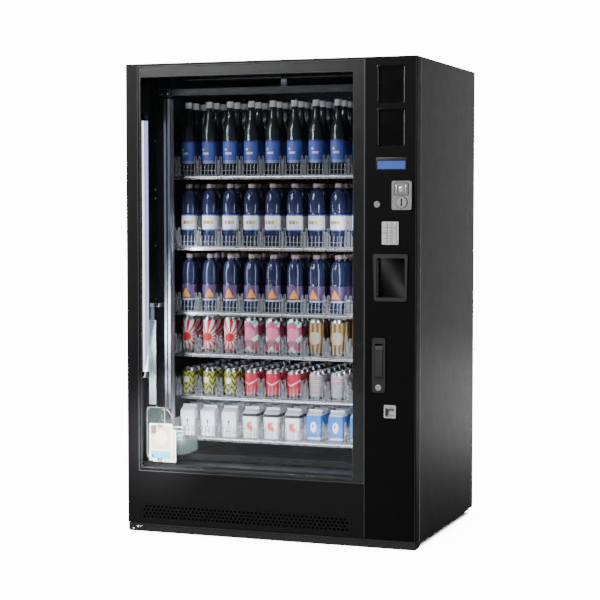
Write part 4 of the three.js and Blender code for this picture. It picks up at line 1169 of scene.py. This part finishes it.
def make_mast():
    """The grooved mast, a saddle at each end, and the clear cable guide with its clamp and arm."""
    piece = Piece()
    left, right, front, back, axis = -503, -476, 160, 200, -489.5
    groove, lip = 3, 1.6
    section = [(left, front + 1), (left + 1, front), (axis - groove, front), (axis - groove, front + 2)]
    section += [(axis - groove - lip, front + 2), (axis - groove - lip, front + 8)]
    section += [(axis + groove + lip, front + 8), (axis + groove + lip, front + 2)]
    section += [(axis + groove, front + 2), (axis + groove, front), (right - 1, front), (right, front + 1)]
    section += [(right, front + 14), (right - 3, front + 16), (right - 3, front + 24), (right, front + 26)]
    section += [
        (right, back), (left, back), (left, front + 26), (left + 3, front + 24), (left + 3, front + 16)
    ]
    piece.prism([*section, (left, front + 14)], "z", 302, 1704, MAST_METAL)
    piece.tube([(axis, front + 5, 306), (axis, front + 5, 1700)], 1, RUBBER_AND_GAP_SHADE, 4, (5, 1.6))
    saddle_x, saddle_d = (-520, -477), (163, 207)
    for low, high in ((268, 304), (1702, 1742)):
        for d in ((163, 170), (200, 207)):
            piece.box(saddle_x, d, (low, high), RAIL_DARK, 1.2)
        plate = (low + 22, high) if low < 1000 else (low, high - 26)
        piece.box(saddle_x, saddle_d, plate, RAIL_DARK, 1.2)
        for px in (-511, -486):
            screw(piece, (px, saddle_d[0], middle((low, high))), 3.4, 1.2)
    ribbon_x, ribbon_z = (-550, -522), (490, 826)
    inner = rounded(grow(ribbon_x, -2.4), grow(ribbon_z, -3), 3)
    ring_outline(piece, rounded(ribbon_x, ribbon_z, 4), inner, (116, 121.8), RIBBON_EDGE)
    piece.prism(rounded(grow(ribbon_x, -2.2), grow(ribbon_z, -3), 3), "d", 117.4, 119.4, RIBBON)
    piece.box((-545, -528), (116.6, 121), (824, 880), RIBBON, 1.4)
    piece.box((-546, -527), (115.8, 124), (878, 894), RIBBON_EDGE, 1.6)
    for arm_x, arm_d in (
        ((-529, -507), (116.2, 124)), ((-515, -507), (118, 180)), ((-515, -502), (168, 180)),
    ):
        piece.box(arm_x, arm_d, (880, 894), MOULDED, 1.0)
    for level in (500, 640, 780, 812):
        screw(piece, (-536, 116.8, level), 2.4, 1.0)
    links, link_pitch = 22, 14.6
    for k in range(links):
        level = 498 + k * link_pitch
        piece.box((-546, -526), (119.4, 121.4), (level, level + 2.2), RIBBON_EDGE, 0.4, 1)
    piece.finish("lift_mast_fine", "mast", "mast_aluminium", "lift_mast")


def make_cup():
    """The clear cup with its tall plate, fan-shaped guard and rods, and the block that carries it."""
    refined("cup_carriage", MOULDED, "cup", "carriage_grey", 1.0)
    refined("delivery_cup", CUP_CLEAR, "cup", "cup_clear", 0.8)
    piece = Piece()
    plate_x, plate_z, rim = (-552.5, -474.5), (279.5, 480.5), 1.5
    frame_ring(piece, plate_x, plate_z, rim, (7.5, 6.5), (97.6, 101.4), RIBBON_EDGE)
    for level in (372, 388, 404):
        piece.tube([(-470, 112, level), (-398.5, 112, level)], 2.3, POLISHED, 10)
    for px, level in ((-545, 288), (-545, 472), (-482, 472), (-482, 288)):
        screw(piece, (px, 97.8, level), 3, 1.2)
    for level in (318, 336, 354, 440, 456):
        piece.box((-501, -480), (118, 127), (level, level + 7), MOULDED, 1.0)
    piece.box((-490, -478), (102, 126), (426, 476), HANDLE_GREY, 1.4)
    piece.tube([(-484, 112, 474), (-470, 116, 468), (-458, 120, 452), (-452, 124, 430)], 1.6, POLISHED, 8)
    piece.finish("cup_fittings", "cup", "cup_clear")


def make_cooling():
    """The cooling unit, its fan and the back panel over it."""
    refined("cooling_unit", DARK_STEEL, "cabinet", "cooling_black", 0.8)
    refined("condenser_fan", MOULDED, "fan", "fan_plastic", 0.6)
    refined("back_panel", DARK_STEEL, "cabinet", "rear_black", 0.8)


# ---------------------------------------------------------------- goods
BOTTLE_GLASS = grained(
    "bottle_glass", (0.012, 0.020, 0.022), (0.020, 0.030, 0.034), (0.06, 0.14), 80, 0.00005
)
PET_BLUE = grained("pet_blue", (0.0120, 0.0168, 0.0510), (0.0204, 0.0264, 0.0750), (0.10, 0.2), 90, 0.0001)
CAP_WHITE = grained("cap_white", (0.52, 0.54, 0.56), (0.66, 0.68, 0.70), (0.35, 0.5), 300, 0.0001)
CAP_ROSE = grained("cap_rose", (0.24, 0.17, 0.17), (0.34, 0.25, 0.25), (0.35, 0.5), 300, 0.0001)
CAN_METAL = grained("can_metal", (0.50, 0.51, 0.53), (0.68, 0.69, 0.71), (0.2, 0.34), 500, 0.00004, 1.0)


def label(name, base, *marks, gloss=0.3, fade=0.9):
    """A printed band: a base colour and marks, each (colour, test of u and v giving 0 or 1)."""
    made = Finish(name, roughness=gloss)
    u, v = made.uv()
    shown = made.mottle(made.noise(30.0), tuple(c * fade for c in base), base)
    for color, test in marks:
        shown = made.mix(test(u, v), shown, color)
    made.color(shown)
    made.rough(made.spread(made.noise(60.0), gloss, gloss + 0.12))
    made.bump(made.noise(700.0), 0.00004)
    return made.material


def near(value, centre, half):
    return (value - centre).math("ABSOLUTE").below(half)


def fraction(value, count, phase=0.0):
    return (value * count + phase).math("FRACT")


def disc(cu, cv, radius, wide):
    """A round spot; wide is the label's circumference over its height."""

    def test(u, v):
        across, up = (u - cu) * wide, v - cv
        return (across.math("POWER", 2) + up.math("POWER", 2)).below(radius * radius)

    return test


def rays(count, wide):
    """Sunburst rays from the label's middle."""
    return lambda u, v: fraction((v - 0.45).math("ARCTAN2", (u - 0.5) * wide), count / (2 * math.pi)).below(
        0.45
    )


def zigzag(teeth, bands, depth, share):
    """Zigzag bands round the item."""
    return lambda u, v: fraction(v + (fraction(u, teeth) - 0.5).math("ABSOLUTE") * depth, bands).below(
        share
    )


def band(low, high):
    return lambda u, v: near(v, (low + high) / 2, (high - low) / 2)


def patch(u0, u1, v0, v1):
    return lambda u, v: near(u, (u0 + u1) / 2, (u1 - u0) / 2) * near(v, (v0 + v1) / 2, (v1 - v0) / 2)


def spike(u, v):
    """A tall triangle in the middle of a label."""
    return near(u, 0.5, 0.09) * near(v, 0.5, 0.3) * (v - 0.2 + (u - 0.5).math("ABSOLUTE") * 6.0).below(0.6)


def rings_round(count, phase, share):
    return lambda u, v: fraction(v, count, phase).below(share)


WHITE = (0.82, 0.84, 0.86)
NAVY = (0.05, 0.09, 0.40)
AZURE = (0.02, 0.20, 0.66)
INK = (0.05, 0.06, 0.06)
CARTON_PAPER = (0.86, 0.88, 0.90)
LABELS = {
    "label_azure": (
        (0.085, 0.13, 0.46),
        ((0.22, 0.27, 0.55), band(0.0, 0.14)),
        ((0.62, 0.66, 0.76), patch(0.43, 0.57, 0.40, 0.50)),
        ((0.62, 0.66, 0.76), disc(0.44, 0.62, 0.06, 2.1)),
        ((0.04, 0.06, 0.26), band(0.93, 1.0)),
    ),
    "label_white": (
        WHITE, (NAVY, band(0.0, 0.08)), (NAVY, band(0.92, 1.0)),
        ((0.55, 0.10, 0.12), patch(0.40, 0.46, 0.4, 0.62)),
        ((0.10, 0.35, 0.16), patch(0.47, 0.53, 0.4, 0.62)),
        ((0.70, 0.50, 0.08), patch(0.54, 0.60, 0.4, 0.62)),
    ),
    "label_violet": (
        (0.095, 0.060, 0.150), ((0.50, 0.52, 0.62), band(0.0, 0.1)), ((0.75, 0.28, 0.05), spike),
    ),
    "can_sunburst": (
        WHITE, ((0.62, 0.015, 0.03), rays(14, 1.15)), ((0.62, 0.02, 0.03), disc(0.5, 0.45, 0.14, 1.15)),
        ((0.30, 0.04, 0.05), band(0.0, 0.08)),
    ),
    "can_blossom": (
        (0.66, 0.07, 0.20), (WHITE, zigzag(3, 2, 0.4, 0.4)),
        ((0.03, 0.30, 0.20), zigzag(5, 3, 0.3, 0.2)), ((0.70, 0.20, 0.32), disc(0.5, 0.6, 0.2, 1.25)),
    ),
    "can_olive": (
        (0.30, 0.15, 0.04), ((0.10, 0.06, 0.02), lambda u, v: fraction(u, 9).below(0.32)),
        ((0.50, 0.42, 0.22), lambda u, v: fraction(u, 9, 0.5).below(0.18)),
        ((0.42, 0.36, 0.26), disc(0.5, 0.5, 0.2, 1.25)),
    ),
    "can_zigzag": (
        (0.50, 0.52, 0.03), ((0.02, 0.02, 0.02), zigzag(6, 3.5, 0.5, 0.42)),
        (WHITE, disc(0.5, 0.6, 0.15, 1.9)),
    ),
    "can_chevron": (
        (0.62, 0.02, 0.06), (WHITE, zigzag(2, 1.5, 0.5, 0.12)),
        ((0.70, 0.10, 0.16), zigzag(2, 1.5, 0.5, 0.06)),
    ),
    "can_stripes": (
        (0.52, 0.48, 0.50), ((0.10, 0.20, 0.50), rings_round(5, 0.0, 0.2)),
        ((0.60, 0.15, 0.12), rings_round(5, 0.5, 0.2)),
        ((0.15, 0.40, 0.18), rings_round(5, 0.75, 0.12)),
    ),
    "carton_plain": (
        CARTON_PAPER,
        (INK, patch(0.475, 0.525, 0.34, 0.56)),
        (INK, disc(0.5, 0.60, 0.07, 1.0)),
        ((0.30, 0.31, 0.33), patch(0.36, 0.64, 0.22, 0.27)),
    ),
    "carton_fruit": (
        CARTON_PAPER,
        ((0.02, 0.02, 0.03), band(0.86, 0.98)),
        ((0.68, 0.05, 0.03), disc(0.42, 0.50, 0.15, 1.0)),
        ((0.68, 0.08, 0.04), disc(0.62, 0.40, 0.12, 1.0)),
        ((0.08, 0.28, 0.08), disc(0.60, 0.62, 0.06, 1.0)),
    ),
    "carton_azure": (
        AZURE,
        (WHITE, disc(0.5, 0.56, 0.21, 1.0)),
        (WHITE, band(0.08, 0.16)),
        (AZURE, disc(0.45, 0.60, 0.07, 1.0)),
    ),
}
PRINTS = {name: label(name, *marks) for name, marks in LABELS.items()}


def bottle(radius, height, label_low, label_high, body, print_name, shoulder, domed):
    """A bottle, slim-necked or with a domed and ribbed body, a printed band and a ridged cap."""
    piece = Piece()
    profile = [(0, 3), (radius * 0.6, 1.5), (radius * 0.8, 0), (radius * 0.96, 2), (radius, 8)]
    level = 14
    while domed and level < label_low - 7:
        profile += [(radius, level), (radius * 0.95, level + 2.5), (radius, level + 5)]
        level += 10
    profile += [(radius, label_low - 1), (radius + 0.4, label_low - 0.9), (radius + 0.4, label_low)]
    profile += [(radius + 0.4, label_high), (radius + 0.4, label_high + 0.1), (radius, label_high + 1)]
    neck, throat = height - (16 if domed else 25), 12.5
    if domed:
        waist = label_high + 7
        profile += [(radius * 0.93, waist - 1.5), (radius * 0.93, waist + 1.5), (radius, waist + 6)]
        rise = neck - 8 - shoulder
        curve = [(math.cos(math.radians(a)), math.sin(math.radians(a))) for a in range(0, 91, 10)]
        profile += [(throat + (radius - throat) * side, shoulder + rise * up) for side, up in curve]
    else:
        for k in range(9):
            blend = 0.5 + 0.5 * math.cos(math.pi * (k / 8) ** 0.8)
            profile.append((throat + (radius - throat) * blend, shoulder + (neck - 8 - shoulder) * k / 8))
    profile += [(throat, neck - 3), (15, neck - 2.5), (15, neck - 0.5), (12.6, neck)]
    painted = ((label_low, label_high, PRINTS[print_name]),)
    piece.lathe([*profile, (0, neck)], (0, 0, 0), body, 28, painted=painted)
    cap = [(0, neck), (13.6, neck), (14.4, neck + 1), (14.4, neck + 4), (14, neck + 4.6)]
    cap += [(14.2, height - 2.5), (13, height), (0, height)]
    piece.lathe(cap, (0, 0, 0), CAP_ROSE if domed else CAP_WHITE, 28)
    return piece.mesh("item")


def can(radius, height, print_name):
    """A drinks can with necked ends, a recessed lid and a pull ring."""
    piece = Piece()
    foot = radius * 0.78
    low, high = 9, height - 13
    profile = [(0, 6), (foot * 0.7, 4.5), (foot, 0), (foot + 1.5, 0.6), (radius, low), (radius, high)]
    profile += [(radius * 0.84, height - 2.5), (radius * 0.84, height - 1.2), (radius * 0.8, height)]
    painted = ((low, high, PRINTS[print_name]),)
    piece.lathe(profile, (0, 0, 0), CAN_METAL, 28, painted=painted)
    lid = [
        (radius * 0.8, height), (radius * 0.76, height - 0.6), (radius * 0.74, height - 4),
        (0, height - 3.6)
    ]
    piece.lathe(lid, (0, 0, 0), CAN_METAL, 28)
    bmesh.ops.remove_doubles(piece.bm, verts=piece.bm.verts, dist=0.01)
    ring = [(3.2, 0), (3.2, 0.9), (6.6, 0.9), (6.6, 0), (3.2, 0)]
    piece.lathe(ring, (0, 4, height - 3.5), CAN_METAL, 14)
    return piece.mesh("item")


def carton(width, shoulder, height, print_name):
    """A gable-topped carton whose printed faces run from its foot to its shoulder."""
    piece = Piece()
    half = width / 2
    printed = PRINTS[print_name]
    piece.box((-half, half), (-half, half), (0, shoulder), printed, 1.6, 2)
    roof = [
        (-half + 0.5, shoulder - 0.8), (half - 0.5, shoulder - 0.8), (2.2, height - 9),
        (-2.2, height - 9)
    ]
    piece.prism(roof, "x", -half + 0.4, half - 0.4, CARTON_WHITE, 1.2)
    piece.box((-half + 0.6, half - 0.6), (-2, 2), (height - 11, height), CARTON_WHITE, 0.8)
    for face in piece.bm.faces:
        for loop in face.loops:
            x, d, z = loop.vert.co
            across = x if abs(face.normal.y) > abs(face.normal.x) else d
            loop[piece.uv].uv = (across / width + 0.5, z / shoulder)
    return piece.mesh("item")


CARTON_WHITE = grained("carton_white", (0.70, 0.72, 0.74), (0.82, 0.84, 0.86), (0.4, 0.55), 400, 0.0001)


def make_goods():
    """The goods, one behind the other, with three lanes for each of a row's three kinds."""
    glass = bottle(30, 293, 46, 136, BOTTLE_GLASS, "label_azure", 168, False)
    water = bottle(32.5, 249, 63, 127, PET_BLUE, "label_white", 168, True)
    mixer = bottle(32.5, 230, 44, 107, PET_BLUE, "label_violet", 150, True)
    tall_cans = ((26, "can_sunburst"), (29, "can_blossom"), (29, "can_olive"))
    short_cans = ("can_zigzag", "can_chevron", "can_stripes")
    cartons = ("carton_plain", "carton_fruit", "carton_azure")
    rows = (
        ("goods_glass", 74, [(glass, 30)] * 3),
        ("goods_bottle", 74, [(water, 32.5)] * 3),
        ("goods_bottle", 74, [(mixer, 32.5)] * 3),
        ("goods_can", 66, [(can(radius, 145, name), radius) for radius, name in tall_cans]),
        ("goods_can", 70, [(can(27, 108, name), 27) for name in short_cans]),
        ("goods_carton", 68, [(carton(60, 102, 125, name), 30) for name in cartons]),
    )
    draw = random.Random(41)
    for number, (slot, pitch, kinds) in enumerate(rows, 1):
        piece = Piece()
        swing = 2 if slot == "goods_carton" else 14
        level = RAIL_CENTRES[number - 1] + 10.8
        for lane in range(LANES):
            item, radius = kinds[lane // 3]
            depth = SHELF_FRONT + 17 + radius
            while depth + radius < SHELF_BACK - 30:
                across = lane_centre(lane) - 9.5 + draw.uniform(-1.2, 1.2)
                place = Matrix.Translation((across, depth, level))
                turn = math.radians(draw.uniform(-swing, swing))
                piece.copy_in(item, place @ Matrix.Rotation(turn, 4, "Z"))
                depth += max(pitch, 2 * radius + 3)
        piece.finish(f"goods_row_{number}", "cabinet", slot)


def make_card():
    """Two rounded cards behind the lower left of the glass, with plain abstract prints."""
    marks = (
        ((0.12, 0.55, 0.68), patch(0.08, 0.92, 0.06, 0.26)),
        ((0.72, 0.56, 0.46), patch(0.08, 0.92, 0.30, 0.94)),
        ((0.90, 0.78, 0.68), disc(0.5, 0.62, 0.2, 0.72)),
        ((0.20, 0.12, 0.10), patch(0.08, 0.3, 0.72, 0.94)),
        ((0.02, 0.03, 0.04), patch(0.12, 0.2, 0.1, 0.16)),
    )
    printed = label("card_print", (0.94, 0.95, 0.96), *marks)
    piece = Piece()
    for x, z, d in (((-519, -418), (276, 424), 46.6), ((-505, -404), (271, 400), 48.4)):
        known = set(piece.bm.faces)
        piece.prism(rounded(x, z, 6), "d", d, d + 0.8, printed)
        for face in set(piece.bm.faces) - known:
            for loop in face.loops:
                cx, cz = loop.vert.co.x, loop.vert.co.z
                loop[piece.uv].uv = ((cx - x[0]) / (x[1] - x[0]), (cz - z[0]) / (z[1] - z[0]))
    for z in ((412, 422), (278, 288)):
        piece.box((-476, -462), (29.9, 46.8), z, GUIDE_EDGE_HIGHLIGHT, 0.8, 1)
    piece.finish("display_cards", "door", "card_print")


def make_inside_lights():
    """Soft light inside the door, from the top, the two sides and below."""
    cool = (0.86, 0.92, 1.0)
    across, upright, depth = (0.8, 0.03), (0.03, 1.0), FRONT + 0.085
    lights = [
        make_light("inside_top", (-0.06, FRONT + 0.15, 1.77), (-0.06, FRONT + 0.3, 0.9), across, 0.9, cool),
        make_light("inside_left", (-0.515, depth, 0.8), (-0.1, FRONT + 0.33, 0.7), upright, 3, cool),
        make_light("inside_right", (0.355, depth, 0.8), (-0.05, FRONT + 0.33, 0.7), upright, 3, cool),
        make_light("inside_low", (-0.1, FRONT + 0.065, 0.36), (-0.1, FRONT + 0.3, 0.55), across, 2.4, cool),
    ]


make_door()
make_panel()
make_lift()
make_cooling()
make_goods()
make_card()
make_inside_lights()
